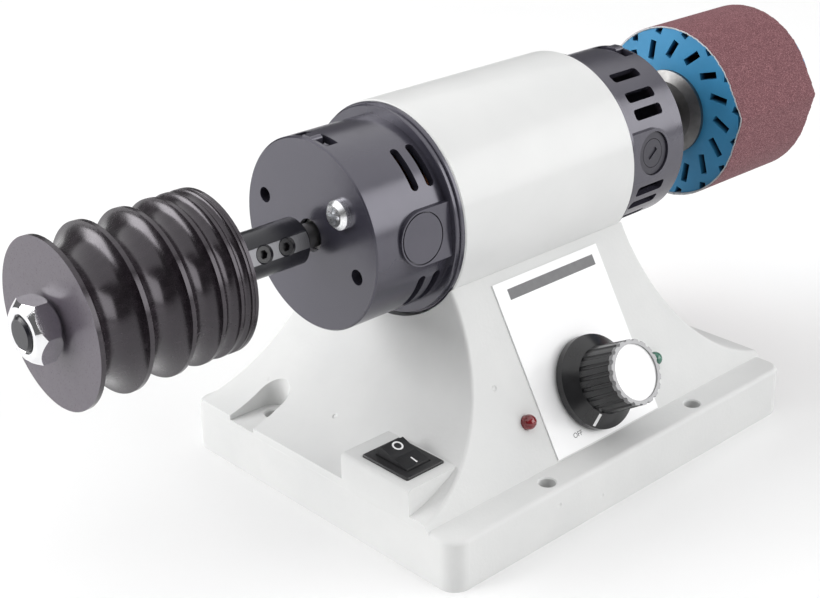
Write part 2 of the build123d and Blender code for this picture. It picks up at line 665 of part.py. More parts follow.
def pad():
    """A flat boss on the cap's side, round at its outer end, pointing up."""
    inner = SLEEVE_END + RIGHT_FLANGE_THICKNESS / 2
    outline = Pos(PAD_X, 0) * Circle(PAD_HALF_WIDTH)
    outline += Pos((inner + PAD_X) / 2, 0) * Rectangle(PAD_X - inner, 2 * PAD_HALF_WIDTH)
    return extrude(outline, PAD_DISTANCE)


def top_slot():
    """A wide opening at the top of the cap, close behind its face."""
    middle = CAP_FACE - TOP_SLOT_INSET - TOP_SLOT_LENGTH / 2
    return Pos(middle, 0, CAP_RADIUS) * Box(TOP_SLOT_LENGTH, TOP_SLOT_WIDTH, 4 * CAP_WALL)


def top_lug():
    """A rounded lug on the back of the cap's face, in the middle of the top opening."""
    near = CAP_FACE - TOP_SLOT_INSET - TOP_LUG_LENGTH
    half = TOP_LUG_WIDTH / 2
    top = CAP_RADIUS + TOP_LUG_PROUD
    lug = block(near, CAP_FACE - TOP_SLOT_INSET / 2, -half, half, CAP_BORE - CAP_WALL, top)
    return fillet(lug.edges().filter_by(Axis.X).group_by(Axis.Z)[-1], TOP_LUG_ROUND)


def flange_outline(*steps):
    """The flange's outline, from the sleeve outwards: one bevelled step for each (radius, thickness)."""
    points = []
    face = SLEEVE_END
    for radius, thickness in steps:
        points.append((face, radius))
        face = SLEEVE_END + thickness
        points += [(face - FLANGE_BEVEL, radius), (face, radius - FLANGE_BEVEL)]
    return points + [(face, CAP_RADIUS)]


def plain_cap(flange):
    """What both caps share, built at the right end: cup, flange, spigot, pads and bearing seat."""
    spigot = SLEEVE_END - CAP_SPIGOT
    cap = lathe(
        (spigot, 0), (spigot, SLEEVE_BORE - FIT), (SLEEVE_END, SLEEVE_BORE - FIT), *flange,
        (CAP_FACE - CAP_EDGE, CAP_RADIUS), (CAP_FACE, CAP_RADIUS - CAP_EDGE), (CAP_FACE, 0),
    )
    cap += [at_angle(CAP_TURN + half_turn, pad()) for half_turn in (0, 180)]
    cap -= rod(0, CAP_INSIDE, CAP_BORE)
    cap += rod(BEARING_INNER_FACE, CAP_INSIDE, BEARING_OUTER_RADIUS + BEARING_SEAT_WALL)
    cap -= rod(0, CAP_INSIDE, BEARING_OUTER_RADIUS + FIT)
    cap -= rod(0, CAP_INSIDE + SEAT_RELIEF, RETAINER_BORE_RADIUS)
    cap -= rod(0, REACH, SHAFT_HOLE_RADIUS)
    return cap - top_slot() + top_lug()


def bolt_posts(inner):
    """Round posts for the long bolts, each tied to the cap's wall by a rib."""
    rib = Box(CAP_INSIDE - inner, BOLT_POST / 2, CAP_BORE - BOLT_CIRCLE + CAP_WALL / 2)
    rib = Pos((CAP_INSIDE + inner) / 2, 0, (CAP_BORE + BOLT_CIRCLE + CAP_WALL / 2) / 2) * rib
    posts = []
    for half_turn in (0, 180):
        angle = BOLT_ANGLE + half_turn
        posts.append(off_axis(angle, BOLT_CIRCLE, rod(inner, CAP_INSIDE, BOLT_POST / 2)))
        posts.append(at_angle(angle, rib))
    return posts


def arc_vent(x):
    """A slot that runs round the cap's wall, round at both ends, centred on straight up."""
    turn = (ARC_VENT_END - ARC_VENT_START) / 2 - math.degrees(ARC_VENT_WIDTH / 2 / CAP_RADIUS)
    inner = CAP_BORE - CAP_WALL / 2
    band = Pos(x, 0, 0) * across(wedge(turn, 2 * CAP_RADIUS), ARC_VENT_WIDTH) - rod(0, REACH, inner)
    end = post(x, 0, inner, 2 * CAP_RADIUS, ARC_VENT_WIDTH / 2)
    return band + at_angle(90 + turn, end) + at_angle(90 - turn, end)


def left_end_cap():
    """Arc vents, blanked pads, open bolt posts and posts for the retainer screws."""
    inner = LEFT_FLANGE_RADIUS - LEFT_FLANGE_RIM_STEP
    cap = plain_cap(flange_outline((LEFT_FLANGE_RADIUS, LEFT_FLANGE_RIM), (inner, LEFT_FLANGE_THICKNESS)))
    screw_post = rod(BEARING_INNER_FACE, CAP_INSIDE, RETAINER_POST / 2)
    for half_turn in (0, 180):
        cap += off_axis(RETAINER_SCREW_ANGLE + half_turn, RETAINER_SCREW_CIRCLE, screw_post)
    cap += bolt_posts(SLEEVE_END + LEFT_FLANGE_THICKNESS)
    cap -= rod(0, CAP_INSIDE, BEARING_OUTER_RADIUS + FIT)
    middle = (ARC_VENT_END + ARC_VENT_START) / 2
    for inset in ARC_VENT_INSETS:
        vent = arc_vent(CAP_FACE - inset)
        for half_turn in (0, 180):
            cap -= at_angle(CAP_TURN + half_turn + middle, vent)
            cap -= at_angle(CAP_TURN + half_turn - middle, vent)
    for half_turn in (0, 180):
        seat = post(PAD_X, 0, PAD_DISTANCE - PLUG_THICKNESS, 2 * PAD_DISTANCE, PLUG_RADIUS + FIT)
        cap -= at_angle(CAP_TURN + half_turn, seat)
        screw = rod(0, REACH, RETAINER_SCREW / 2 + LOOSE)
        cap -= off_axis(RETAINER_SCREW_ANGLE + half_turn, RETAINER_SCREW_CIRCLE, screw)
        tip = CAP_FACE - BOLT_TIP_DEPTH
        bolt = rod(0, tip, BOLT / 2 + FIT) + rod(tip, REACH, BOLT_OPENING / 2)
        cap -= off_axis(BOLT_ANGLE + half_turn, BOLT_CIRCLE, bolt)
    return mirror(cap, Plane.YZ)


def right_end_cap():
    """Axial vents, a brush opening in each pad and posts for the long bolts."""
    cap = plain_cap(flange_outline((RIGHT_FLANGE_RADIUS, RIGHT_FLANGE_THICKNESS)))
    cap += bolt_posts(SLEEVE_END)
    tube = post(PAD_X, 0, CAP_BORE - HOLDER_BOSS_DEPTH, CAP_BORE, HOLDER_BOSS_RADIUS)
    cap += [at_angle(CAP_TURN + half_turn, tube) for half_turn in (0, 180)]
    outline = RectangleRounded(AXIAL_VENT_LENGTH, AXIAL_VENT_WIDTH, AXIAL_VENT_CORNER)
    vent = Pos(CAP_FACE - AXIAL_VENT_INSET, 0, CAP_BORE - CAP_WALL) * extrude(outline, 4 * CAP_WALL)
    for angle in AXIAL_VENT_ANGLES:
        for half_turn in (0, 180):
            cap -= at_angle(CAP_TURN + half_turn + angle, vent)
            cap -= at_angle(CAP_TURN + half_turn - angle, vent)
    for half_turn in (0, 180):
        hole = post(PAD_X, 0, COMMUTATOR_RADIUS, PAD_DISTANCE, HOLDER_RADIUS + FIT)
        floor = PAD_DISTANCE - BRUSH_RECESS_DEPTH - HOLDER_COLLAR_THICKNESS
        recess = post(PAD_X, 0, floor, 2 * PAD_DISTANCE, HOLDER_COLLAR_RADIUS + LOOSE)
        cap -= at_angle(CAP_TURN + half_turn, hole)
        cap -= at_angle(CAP_TURN + half_turn, recess)
        cap -= off_axis(BOLT_ANGLE + half_turn, BOLT_CIRCLE, rod(0, REACH, BOLT / 2 + LOOSE))
    return cap


def pad_plugs():
    """Blank discs that close the left cap's unused brush openings, with a groove round each."""
    floor = PAD_DISTANCE - PLUG_THICKNESS
    disc = post(PAD_X, 0, floor, PAD_DISTANCE - PLUG_GROOVE_DEPTH, PLUG_RADIUS)
    disc += post(PAD_X, 0, floor, PAD_DISTANCE, PLUG_RADIUS - PLUG_GROOVE)
    return [mirror(at_angle(CAP_TURN + half_turn, disc), Plane.YZ) for half_turn in (0, 180)]


def long_bolts():
    """Bolts from the right cap's face to the left cap's posts."""
    length = 2 * CAP_FACE - BOLT_TIP_DEPTH
    bolt = pan_screw(BOLT / 2, length, BOLT_HEAD / 2, BOLT_HEAD_HEIGHT)
    bolt = Pos(CAP_FACE, 0, 0) * Rot(0, 90, 0) * bolt
    return [off_axis(BOLT_ANGLE + half_turn, BOLT_CIRCLE, bolt) for half_turn in (0, 180)]


def mount_screws():
    """Screws from inside the pedestal, through saddle and sleeve into the stator."""
    screw = pan_screw(MOUNT_SCREW / 2, MOUNT_SCREW_GRIP, MOUNT_SCREW_HEAD / 2, MOUNT_SCREW_HEAD_HEIGHT)
    seat = -SLEEVE_RADIUS - SADDLE_WALL
    return [Pos(side * MOUNT_SCREW_SPACING / 2, 0, seat) * Rot(180, 0, 0) * screw for side in (-1, 1)]


def bearing_retainer():
    """A plate with two ears that holds the left bearing in its seat."""
    plate = rod(BEARING_INNER_FACE - RETAINER_THICKNESS, BEARING_INNER_FACE, RETAINER_RADIUS)
    for half_turn in (0, 180):
        angle = RETAINER_SCREW_ANGLE + half_turn
        ear = rod(BEARING_INNER_FACE - RETAINER_THICKNESS, BEARING_INNER_FACE, RETAINER_POST / 2)
        plate += off_axis(angle, RETAINER_SCREW_CIRCLE, ear)
        bridge = Box(RETAINER_THICKNESS, RETAINER_POST, RETAINER_SCREW_CIRCLE)
        bridge = Pos(BEARING_INNER_FACE - RETAINER_THICKNESS / 2, 0, RETAINER_SCREW_CIRCLE / 2) * bridge
        plate += at_angle(angle, bridge)
    plate -= rod(0, REACH, RETAINER_BORE_RADIUS)
    for half_turn in (0, 180):
        hole = rod(0, REACH, RETAINER_SCREW / 2 + FIT)
        plate -= off_axis(RETAINER_SCREW_ANGLE + half_turn, RETAINER_SCREW_CIRCLE, hole)
    return mirror(plate, Plane.YZ)


def retainer_screws():
    length = CAP_FACE - BEARING_INNER_FACE + RETAINER_THICKNESS
    screw = pan_screw(RETAINER_SCREW / 2, length, RETAINER_SCREW_HEAD / 2, RETAINER_SCREW_HEAD_HEIGHT)
    screw = Pos(-CAP_FACE, 0, 0) * Rot(0, -90, 0) * screw
    angles = (RETAINER_SCREW_ANGLE, RETAINER_SCREW_ANGLE + 180)
    return [off_axis(angle, RETAINER_SCREW_CIRCLE, screw) for angle in angles]


def stator_core():
    """A yoke with a pole at the top and one at the bottom."""
    pole = Pos(0, YOKE_INNER_RADIUS / 2) * Rectangle(POLE_WIDTH, YOKE_INNER_RADIUS)
    shoe = Circle(SHOE_OUTER_RADIUS) & wedge(SHOE_HALF_ANGLE, 2 * SHOE_OUTER_RADIUS)
    poles = (pole + shoe) + Rot(0, 0, 180) * (pole + shoe)
    section = Circle(SLEEVE_BORE - FIT) - Circle(YOKE_INNER_RADIUS) + poles - Circle(STATOR_BORE_RADIUS)
    core = across(section, STACK_LENGTH)
    for side in (-1, 1):
        x = side * MOUNT_SCREW_SPACING / 2
        core -= post(x, 0, -SLEEVE_RADIUS, -YOKE_INNER_RADIUS, MOUNT_SCREW / 2 + FIT)
    for half_turn in (0, 180):
        channel = rod(-REACH, REACH, BOLT / 2 + LOOSE)
        core -= off_axis(BOLT_ANGLE + half_turn, BOLT_CIRCLE, channel)
    return core


def field_coils():
    """Bent flat coils, one round each pole, resting on the pole's shoe."""
    inner = SHOE_OUTER_RADIUS + FIT
    outer = YOKE_INNER_RADIUS - LOOSE
    shell = (Circle(outer) - Circle(inner)) & wedge(COIL_HALF_ANGLE, 2 * outer)
    coil = across(shell, STACK_LENGTH + 2 * COIL_OVERHANG)
    window = Pos(0, 0, outer) * Box(STACK_LENGTH + LOOSE, POLE_WIDTH + LOOSE, 2 * (outer - inner) + outer)
    coil -= window
    return [coil, Rot(180, 0, 0) * coil]


def motor_shaft():
    """A journal through both bearings, with a thinner end at each side for the adapters."""
    journal = CAP_INSIDE + JOURNAL_PROUD
    end = ADAPTER_NEAR + SHAFT_GRIP
    return rod(-journal, journal, BEARING_BORE_RADIUS - FIT) + rod(-end, end, SHAFT_END_RADIUS)


def armature_core():
    radius = STATOR_BORE_RADIUS - AIR_GAP
    mouth_length = radius - ARMATURE_SLOT_CIRCLE
    slot = Pos(0, ARMATURE_SLOT_CIRCLE) * Circle(ARMATURE_SLOT_RADIUS)
    slot += Pos(0, ARMATURE_SLOT_CIRCLE + mouth_length) * Rectangle(ARMATURE_SLOT_MOUTH, 2 * mouth_length)
    section = Circle(radius) - Circle(BEARING_BORE_RADIUS)
    for index in range(ARMATURE_SLOTS):
        section -= Rot(0, 0, 360 * index / ARMATURE_SLOTS) * slot
    return across(section, STACK_LENGTH)


def armature_windings():
    """Copper in the core's slots, joined by a rounded bundle at each end."""
    near = STACK_END + LOOSE
    far = STACK_END + WINDING_OVERHANG
    soft = WINDING_ROUND
    bundle = lathe(
        (near, WINDING_INNER_RADIUS), (near, WINDING_OUTER_RADIUS), (far - soft, WINDING_OUTER_RADIUS),
        (far, WINDING_OUTER_RADIUS - soft), (far, WINDING_INNER_RADIUS),
    )
    wound = bundle + mirror(bundle, Plane.YZ)
    bar = rod(-near - soft, near + soft, ARMATURE_SLOT_RADIUS - RUN)
    for index in range(ARMATURE_SLOTS):
        wound += off_axis(90 + 360 * index / ARMATURE_SLOTS, ARMATURE_SLOT_CIRCLE, bar)
    return wound


def commutator():
    """Copper bars under the brushes, with a riser at the end that faces the windings."""
    end = PAD_X + BRUSH_SIDE + LOOSE
    start = end - COMMUTATOR_LENGTH
    body = rod(start, end, COMMUTATOR_RADIUS) + rod(start, start + RISER_LENGTH, RISER_RADIUS)
    floor = COMMUTATOR_RADIUS - BAR_GROOVE
    groove = block(0, REACH, -BAR_GROOVE / 2, BAR_GROOVE / 2, floor, 2 * RISER_RADIUS)
    body -= [Rot(360 * index / COMMUTATOR_BARS, 0, 0) * groove for index in range(COMMUTATOR_BARS)]
    return body - rod(0, REACH, BEARING_BORE_RADIUS)


def cooling_fan():
    """A radial fan inside the left cap."""
    front = BEARING_INNER_FACE - RETAINER_THICKNESS - FAN_END_GAP
    back = front - FAN_LENGTH
    fan = rod(back, front, FAN_HUB_RADIUS) + rod(back, back + FAN_SHEET, FAN_RADIUS)
    blade = Pos((back + front) / 2, 0, FAN_RADIUS / 2) * Box(FAN_LENGTH, FAN_SHEET, FAN_RADIUS)
    blade &= rod(back, front, FAN_RADIUS)
    fan += [Rot(360 * index / FAN_BLADES, 0, 0) * blade for index in range(FAN_BLADES)]
    return mirror(fan - rod(0, REACH, BEARING_BORE_RADIUS), Plane.YZ)


def bearing_middle():
    return (BEARING_INNER_FACE + CAP_INSIDE) / 2


def race():
    """The ring-shaped space that the balls run in."""
    circle = Pos(0, BEARING_PITCH_RADIUS) * Circle(RACE_RADIUS)
    return Pos(bearing_middle(), 0, 0) * revolve(circle, Axis.X)


def bearing_outer():
    outer = ring(BEARING_INNER_FACE, CAP_INSIDE, BEARING_OUTER_RADIUS, BEARING_PITCH_RADIUS + RACE_SHOULDER)
    return outer - race()


def bearing_inner():
    inner = ring(BEARING_INNER_FACE, CAP_INSIDE, BEARING_PITCH_RADIUS - RACE_SHOULDER, BEARING_BORE_RADIUS)
    return inner - race()


def ball_places():
    """One ball's place for each step round the pitch circle."""
    first = Pos(bearing_middle(), 0, BEARING_PITCH_RADIUS)
    return [Rot(360 * index / BALLS, 0, 0) * first for index in range(BALLS)]


def bearing_balls():
    return [place * Sphere(BALL_RADIUS) for place in ball_places()]


def bearing_cage():
    inner = BEARING_PITCH_RADIUS - CAGE_HALF_DEPTH
    outer = BEARING_PITCH_RADIUS + CAGE_HALF_DEPTH
    middle = bearing_middle()
    cage = ring(middle - CAGE_WIDTH / 2, middle + CAGE_WIDTH / 2, outer, inner)
    return cage - [place * Sphere(BALL_RADIUS + RUN) for place in ball_places()]


def bearing_shields():
    """Thin discs that close both sides of a bearing, clear of its inner ring."""
    outer = BEARING_PITCH_RADIUS + RACE_SHOULDER - FIT
    inner = BEARING_PITCH_RADIUS - RACE_SHOULDER + LOOSE
    near = BEARING_INNER_FACE + SHIELD_INSET
    far = CAP_INSIDE - SHIELD_INSET - SHIELD_THICKNESS
    return [ring(x, x + SHIELD_THICKNESS, outer, inner) for x in (near, far)]


def brush_pair(shape):
    """The same piece in front of and behind the commutator."""
    return [at_angle(CAP_TURN + half_turn, Pos(PAD_X, 0, 0) * shape) for half_turn in (0, 180)]


def collar_top():
    return PAD_DISTANCE - BRUSH_RECESS_DEPTH


def brush_holders():
    """A tube with a square channel for the brush and a round mouth for its cap."""
    inner = COMMUTATOR_RADIUS + HOLDER_SETBACK
    top = collar_top()
    collar = top - HOLDER_COLLAR_THICKNESS
    tube = upright_lathe(
        (0, inner), (HOLDER_RADIUS, inner), (HOLDER_RADIUS, collar), (HOLDER_COLLAR_RADIUS, collar),
        (HOLDER_COLLAR_RADIUS, top), (0, top),
    )
    side = BRUSH_SIDE + 2 * RUN
    channel = Pos(0, 0, inner) * Box(side, side, 2 * BRUSH_LENGTH)
    mouth_floor = COMMUTATOR_RADIUS + BRUSH_LENGTH
    mouth = post(0, 0, mouth_floor, top, BRUSH_CAP_PLUG_RADIUS + FIT)
    mouth += post(0, 0, top - BRUSH_CAP_THICKNESS, top, BRUSH_CAP_RADIUS + BRUSH_CAP_GAP)
    return brush_pair(tube - channel - mouth)


def carbon_brushes():
    half = BRUSH_SIDE / 2
    brush = block(-half, half, -half, half, 0, COMMUTATOR_RADIUS + BRUSH_LENGTH)
    return brush_pair(brush - rod(-REACH, REACH, COMMUTATOR_RADIUS + RUN))


def brush_springs():
    """Each spring stands as a plain sleeve of its outer size."""
    foot = COMMUTATOR_RADIUS + BRUSH_LENGTH
    head = collar_top() - BRUSH_CAP_THICKNESS - BRUSH_CAP_PLUG_LENGTH
    spring = post(0, 0, foot, head, SPRING_RADIUS) - post(0, 0, foot, head, SPRING_RADIUS - SPRING_WIRE)
    return brush_pair(spring)


def brush_caps():
    """Slotted caps screwed into the holders, level with their collars."""
    top = collar_top()
    seat = top - BRUSH_CAP_THICKNESS
    cap = post(0, 0, seat, top, BRUSH_CAP_RADIUS)
    cap += post(0, 0, seat - BRUSH_CAP_PLUG_LENGTH, seat, BRUSH_CAP_PLUG_RADIUS)
    slot = Box(BRUSH_CAP_RADIUS, BRUSH_CAP_SLOT, BRUSH_CAP_THICKNESS)
    return brush_pair(cap - Pos(0, 0, top) * Rot(0, 0, BRUSH_CAP_TURN) * slot)


def set_screw_length():
    return ADAPTER_RADIUS - ADAPTER_FLAT_DEPTH - SET_SCREW_SINK - SHAFT_END_RADIUS


def adapter_body(length, set_screws, stud_length):
    """A turned sleeve over the shaft's end with a flat, set screw holes and a stud, built at the right."""
    end = ADAPTER_NEAR + length
    tip = end + stud_length
    body = lathe(
        (ADAPTER_NEAR, 0), (ADAPTER_NEAR, ADAPTER_RADIUS - ADAPTER_CHAMFER),
        (ADAPTER_NEAR + ADAPTER_CHAMFER, ADAPTER_RADIUS),
        (end, ADAPTER_RADIUS), (end, STUD_RADIUS), (tip - STUD_CHAMFER, STUD_RADIUS),
        (tip, STUD_RADIUS - STUD_CHAMFER), (tip, 0),
    )
    flat = ADAPTER_RADIUS - ADAPTER_FLAT_DEPTH
    shave = block(ADAPTER_NEAR, end, -ADAPTER_RADIUS, ADAPTER_RADIUS, flat, 2 * ADAPTER_RADIUS)
    body -= at_angle(ADAPTER_FLAT_ANGLE, shave)
    body -= rod(ADAPTER_NEAR, ADAPTER_NEAR + SHAFT_GRIP + LOOSE, SHAFT_END_RADIUS + FIT)
    for distance in set_screws:
        hole = post(ADAPTER_NEAR + distance, 0, 0, 2 * ADAPTER_RADIUS, SET_SCREW_RADIUS + FIT)
        mouth = Cone(SET_SCREW_RADIUS, SET_SCREW_RADIUS + SET_SCREW_SINK, SET_SCREW_SINK)
        sink = Pos(ADAPTER_NEAR + distance, 0, flat - SET_SCREW_SINK / 2) * mouth
        body -= at_angle(ADAPTER_FLAT_ANGLE, hole)
        body -= at_angle(ADAPTER_FLAT_ANGLE, sink)
    return body


def adapter_screws(set_screws):
    """Headless screws with a hexagon socket, bearing on the shaft."""
    length = set_screw_length()
    screw = post(0, 0, 0, length, SET_SCREW_RADIUS)
    socket = extrude(RegularPolygon(SET_SCREW_SOCKET / math.sqrt(3), 6), SET_SCREW_SOCKET_DEPTH)
    screw -= Pos(0, 0, length - SET_SCREW_SOCKET_DEPTH) * socket
    seats = [Pos(ADAPTER_NEAR + distance, 0, SHAFT_END_RADIUS + FIT) for distance in set_screws]
    return [at_angle(ADAPTER_FLAT_ANGLE, seat * screw) for seat in seats]


def left_adapter():
    stud = WHEEL_LENGTH + NUT_HEIGHT + STUD_PROUD
    return mirror(adapter_body(LEFT_ADAPTER_LENGTH, LEFT_SET_SCREWS, stud), Plane.YZ)


def right_adapter():
    """As the left one, with a bevelled flange for the drum."""
    stud = DRUM_LENGTH + WASHER_THICKNESS + NUT_HEIGHT + STUD_PROUD
    body = adapter_body(RIGHT_ADAPTER_LENGTH, RIGHT_SET_SCREWS, stud)
    inner = DRUM_SEAT - FLANGE_THICKNESS
    return body + lathe(
        (inner, STUD_RADIUS), (inner, FLANGE_TOP_RADIUS), (DRUM_SEAT - FLANGE_RIM, FLANGE_RADIUS),
        (DRUM_SEAT, FLANGE_RADIUS), (DRUM_SEAT, STUD_RADIUS),
    )


def groove_arc(start, width):
    """One concave groove in the wheel's outline, an arc of a circle."""
    depth = GROOVE_DEPTH_SHARE * width / 2
    middle = (start + width / 2, WHEEL_RADIUS - depth)
    return ThreePointArc((start, WHEEL_RADIUS), middle, (start + width, WHEEL_RADIUS))


def polishing_wheel():
    """One turned piece: grooves that narrow from the face to the back, with a thin land between each."""
    x = -WHEEL_FACE
    bore = STUD_RADIUS + FIT
    outline = Polyline((x, bore), (x, WHEEL_RADIUS), (x + WHEEL_RIM, WHEEL_RADIUS))
    x += WHEEL_RIM
    for width, land in zip(WHEEL_GROOVES, WHEEL_LANDS + (FINE_LAND,)):
        outline += groove_arc(x, width)
        outline += Line((x + width, WHEEL_RADIUS), (x + width + land, WHEEL_RADIUS))
        x += width + land
    outline += groove_arc(x, FINE_GROOVE)
    x += FINE_GROOVE
    back = -WHEEL_SEAT
    outline += Polyline((x, WHEEL_RADIUS), (back, WHEEL_RADIUS), (back, bore), (-WHEEL_FACE, bore))
    return revolve(make_face(outline), Axis.X)


def stud_nut(x):
    """A hexagon nut whose seat is at x, facing right."""
    nut = hexagon(NUT_ACROSS_FLATS, NUT_HEIGHT, STUD_RADIUS + FIT, NUT_FACE_RADIUS, NUT_MOUTH_RADIUS)
    return Pos(x, 0, 0) * Rot(NUT_TURN, 0, 0) * Rot(0, 90, 0) * nut


def drum_washer():
    return ring(DRUM_END, DRUM_END + WASHER_THICKNESS, FLANGE_RADIUS, STUD_RADIUS + FIT)


def sanding_drum():
    """A rubber cylinder with a ring of slanted slots and notches round its rim."""
    section = Circle(DRUM_RADIUS) - Circle(STUD_RADIUS + FIT)
    tilt = Rot(0, 0, DRUM_SLOT_TILT)
    slot = Pos(0, DRUM_SLOT_RADIUS) * tilt * Rectangle(DRUM_SLOT_WIDTH, DRUM_SLOT_LENGTH)
    notch = Pos(0, DRUM_RADIUS) * tilt * Rectangle(DRUM_NOTCH_WIDTH, 2 * DRUM_NOTCH_DEPTH)
    step = 360 / DRUM_SLOTS
    for index in range(DRUM_SLOTS):
        section -= Rot(0, 0, step * index) * slot
        section -= Rot(0, 0, step * (index + 0.5)) * notch
    return Pos((DRUM_SEAT + DRUM_END) / 2, 0, 0) * across(section, DRUM_LENGTH)


def folded_loop(radius, fold):
    """A circle drawn out to a fold at two opposite sides."""
    turn = math.acos(radius / fold)
    x = radius * math.cos(turn)
    y = radius * math.sin(turn)
    corners = [(fold, 0), (x, y), (-x, y), (-fold, 0), (-x, -y), (x, -y)]
    return Circle(radius) + make_face(Polyline(*corners, close=True))


def sanding_belt():
    """A loop of abrasive cloth set a little askew on the drum, still folded where it lay flat."""
    inner = DRUM_RADIUS + RUN
    outer = inner + BELT_THICKNESS
    section = folded_loop(outer, BELT_CREASE) - folded_loop(inner, BELT_CREASE * inner / outer)
    belt = across(Rot(0, 0, 180 - BELT_CREASE_ANGLE) * section, BELT_WIDTH + 2 * BELT_SKEW)
    askew = math.degrees(math.atan2(BELT_SKEW, 2 * outer))
    belt &= Rot(0, 0, -askew) * Box(BELT_WIDTH, REACH, REACH)
    return Pos(DRUM_END - BELT_WIDTH / 2, 0, 0) * belt


def panel_plate():
    outline = Pos(0, PLATE_FOOT + PLATE_HEIGHT / 2) * Rectangle(PLATE_WIDTH, PLATE_HEIGHT)
    plate = extrude(outline, PLATE_THICKNESS)
    hole = Pos(0, KNOB_RISE, 0) * Cylinder(POT_BUSHING_RADIUS + LOOSE / 2, 4 * WALL)
    return PANEL * (plate - hole)


def potentiometer_body():
    """Can, threaded neck and three lugs, behind the panel."""
    body = post(0, 0, -WALL - POT_DEPTH, -WALL, POT_RADIUS)
    body += post(0, 0, -WALL, POT_BUSHING_LENGTH, POT_BUSHING_RADIUS)
    body -= post(0, 0, -WALL - POT_SHAFT_SINK, POT_BUSHING_LENGTH, POT_SHAFT_RADIUS + RUN)
    width, length, thickness = POT_LUG
    for step in (-1, 0, 1):
        lug = Box(width, 2 * length, thickness)
        body += Pos(step * POT_LUG_PITCH, -POT_RADIUS, -WALL - POT_DEPTH / 2) * lug
    return KNOB_PLACE * body


def potentiometer_nut():
    bore = POT_BUSHING_RADIUS + FIT
    nut = hexagon(POT_NUT_ACROSS_FLATS, POT_NUT_HEIGHT, bore, POT_NUT_FACE_RADIUS, POT_NUT_MOUTH_RADIUS)
    return KNOB_PLACE * Pos(0, 0, PLATE_THICKNESS) * nut


def potentiometer_shaft():
    top = KNOB_TOP - SHAFT_STOP
    return KNOB_PLACE * post(0, 0, RUN - WALL - POT_SHAFT_SINK, top, POT_SHAFT_RADIUS)


def knob_flutes():
    """Round cutters that follow the barrel's taper, for the knob and its cap."""
    lean = math.degrees(math.atan2(KNOB_ROOT_RADIUS - KNOB_TIP_RADIUS, KNOB_BARREL))
    offset = KNOB_ROOT_RADIUS + KNOB_FLUTE_RADIUS - KNOB_FLUTE_DEPTH
    flute = Rot(0, -lean, 0) * post(0, 0, 0, 2 * KNOB_BARREL, KNOB_FLUTE_RADIUS)
    flute = Pos(offset, 0, KNOB_SHOULDER) * flute
    return [Rot(0, 0, 360 * index / KNOB_FLUTES) * flute for index in range(KNOB_FLUTES)]


def speed_knob():
    """A skirted knob with a fluted barrel, hollow under the skirt."""
    rim = KNOB_FOOT + KNOB_SKIRT_RIM
    body = upright_lathe(
        (0, KNOB_FOOT), (KNOB_SKIRT_RADIUS, KNOB_FOOT), (KNOB_SKIRT_RADIUS, rim),
        (KNOB_ROOT_RADIUS, KNOB_SHOULDER), (KNOB_TIP_RADIUS, KNOB_TOP), (0, KNOB_TOP),
    )
    body -= knob_flutes()
    body -= post(0, 0, KNOB_FOOT, KNOB_FOOT + KNOB_HOLLOW_DEPTH, KNOB_HOLLOW_RADIUS)
    body -= post(0, 0, KNOB_FOOT, KNOB_TOP - SHAFT_STOP, POT_SHAFT_RADIUS + FIT)
    return KNOB_PLACE * body


def knob_cap():
    """A metal end on the barrel, notched like it, with a sunk face."""
    cap = post(0, 0, KNOB_TOP, KNOB_CAP_TOP, KNOB_TIP_RADIUS)
    cap -= knob_flutes()
    cap -= post(0, 0, KNOB_CAP_TOP - KNOB_CAP_RECESS, KNOB_CAP_TOP, KNOB_CAP_FACE_RADIUS)
    return KNOB_PLACE * cap


def lamp(side):
    """A round indicator lamp with its flange behind the panel and two leads."""
    inner = -WALL - LAMP_FLANGE
    body = post(0, 0, inner, -WALL, LAMP_FLANGE_RADIUS) + post(0, 0, -WALL, LAMP_COLLAR, LAMP_RADIUS)
    body += Pos(0, 0, LAMP_COLLAR) * Sphere(LAMP_RADIUS)
    for lead in (-1, 1):
        x = lead * LAMP_LEAD_PITCH / 2
        half = LAMP_LEAD / 2
        body += block(x - half, x + half, -half, half, inner - LAMP_LEAD_LENGTH, inner + half)
    return PANEL * Pos(side * LAMP_SPACING / 2, LAMP_RISE, 0) * body


def rocker_well(radius, half_width):
    """The space that a rocker of the given radius sweeps, about its pin."""
    well = Pos(0, 0, ROCKER_PIVOT) * rod(-half_width, half_width, radius)
    return well + block(-half_width, half_width, -radius, radius, ROCKER_PIVOT, 2 * BEZEL_HEIGHT)


def switch_housing():
    """Bezel and body of the switch, with a well for the rocker and holes for its pin ends."""
    bezel = extrude(RectangleRounded(BEZEL_WIDTH, BEZEL_LENGTH, BEZEL_CORNER), BEZEL_HEIGHT)
    bezel = chamfer(bezel.faces().sort_by(Axis.Z)[-1].edges(), BEZEL_CHAMFER)
    body = bezel + Pos(0, 0, -HOUSING_DEPTH / 2) * Box(HOUSING_WIDTH, HOUSING_LENGTH, HOUSING_DEPTH)
    body -= rocker_well(ROCKER_RADIUS + ROCKER_GAP, ROCKER_WIDTH / 2 + ROCKER_GAP)
    pin = ROCKER_WIDTH / 2 + PIN_LENGTH + ROCKER_GAP / 2
    body -= Pos(0, 0, ROCKER_PIVOT) * rod(-pin, pin, PIN_RADIUS + RUN)
    return SWITCH_PLACE * body


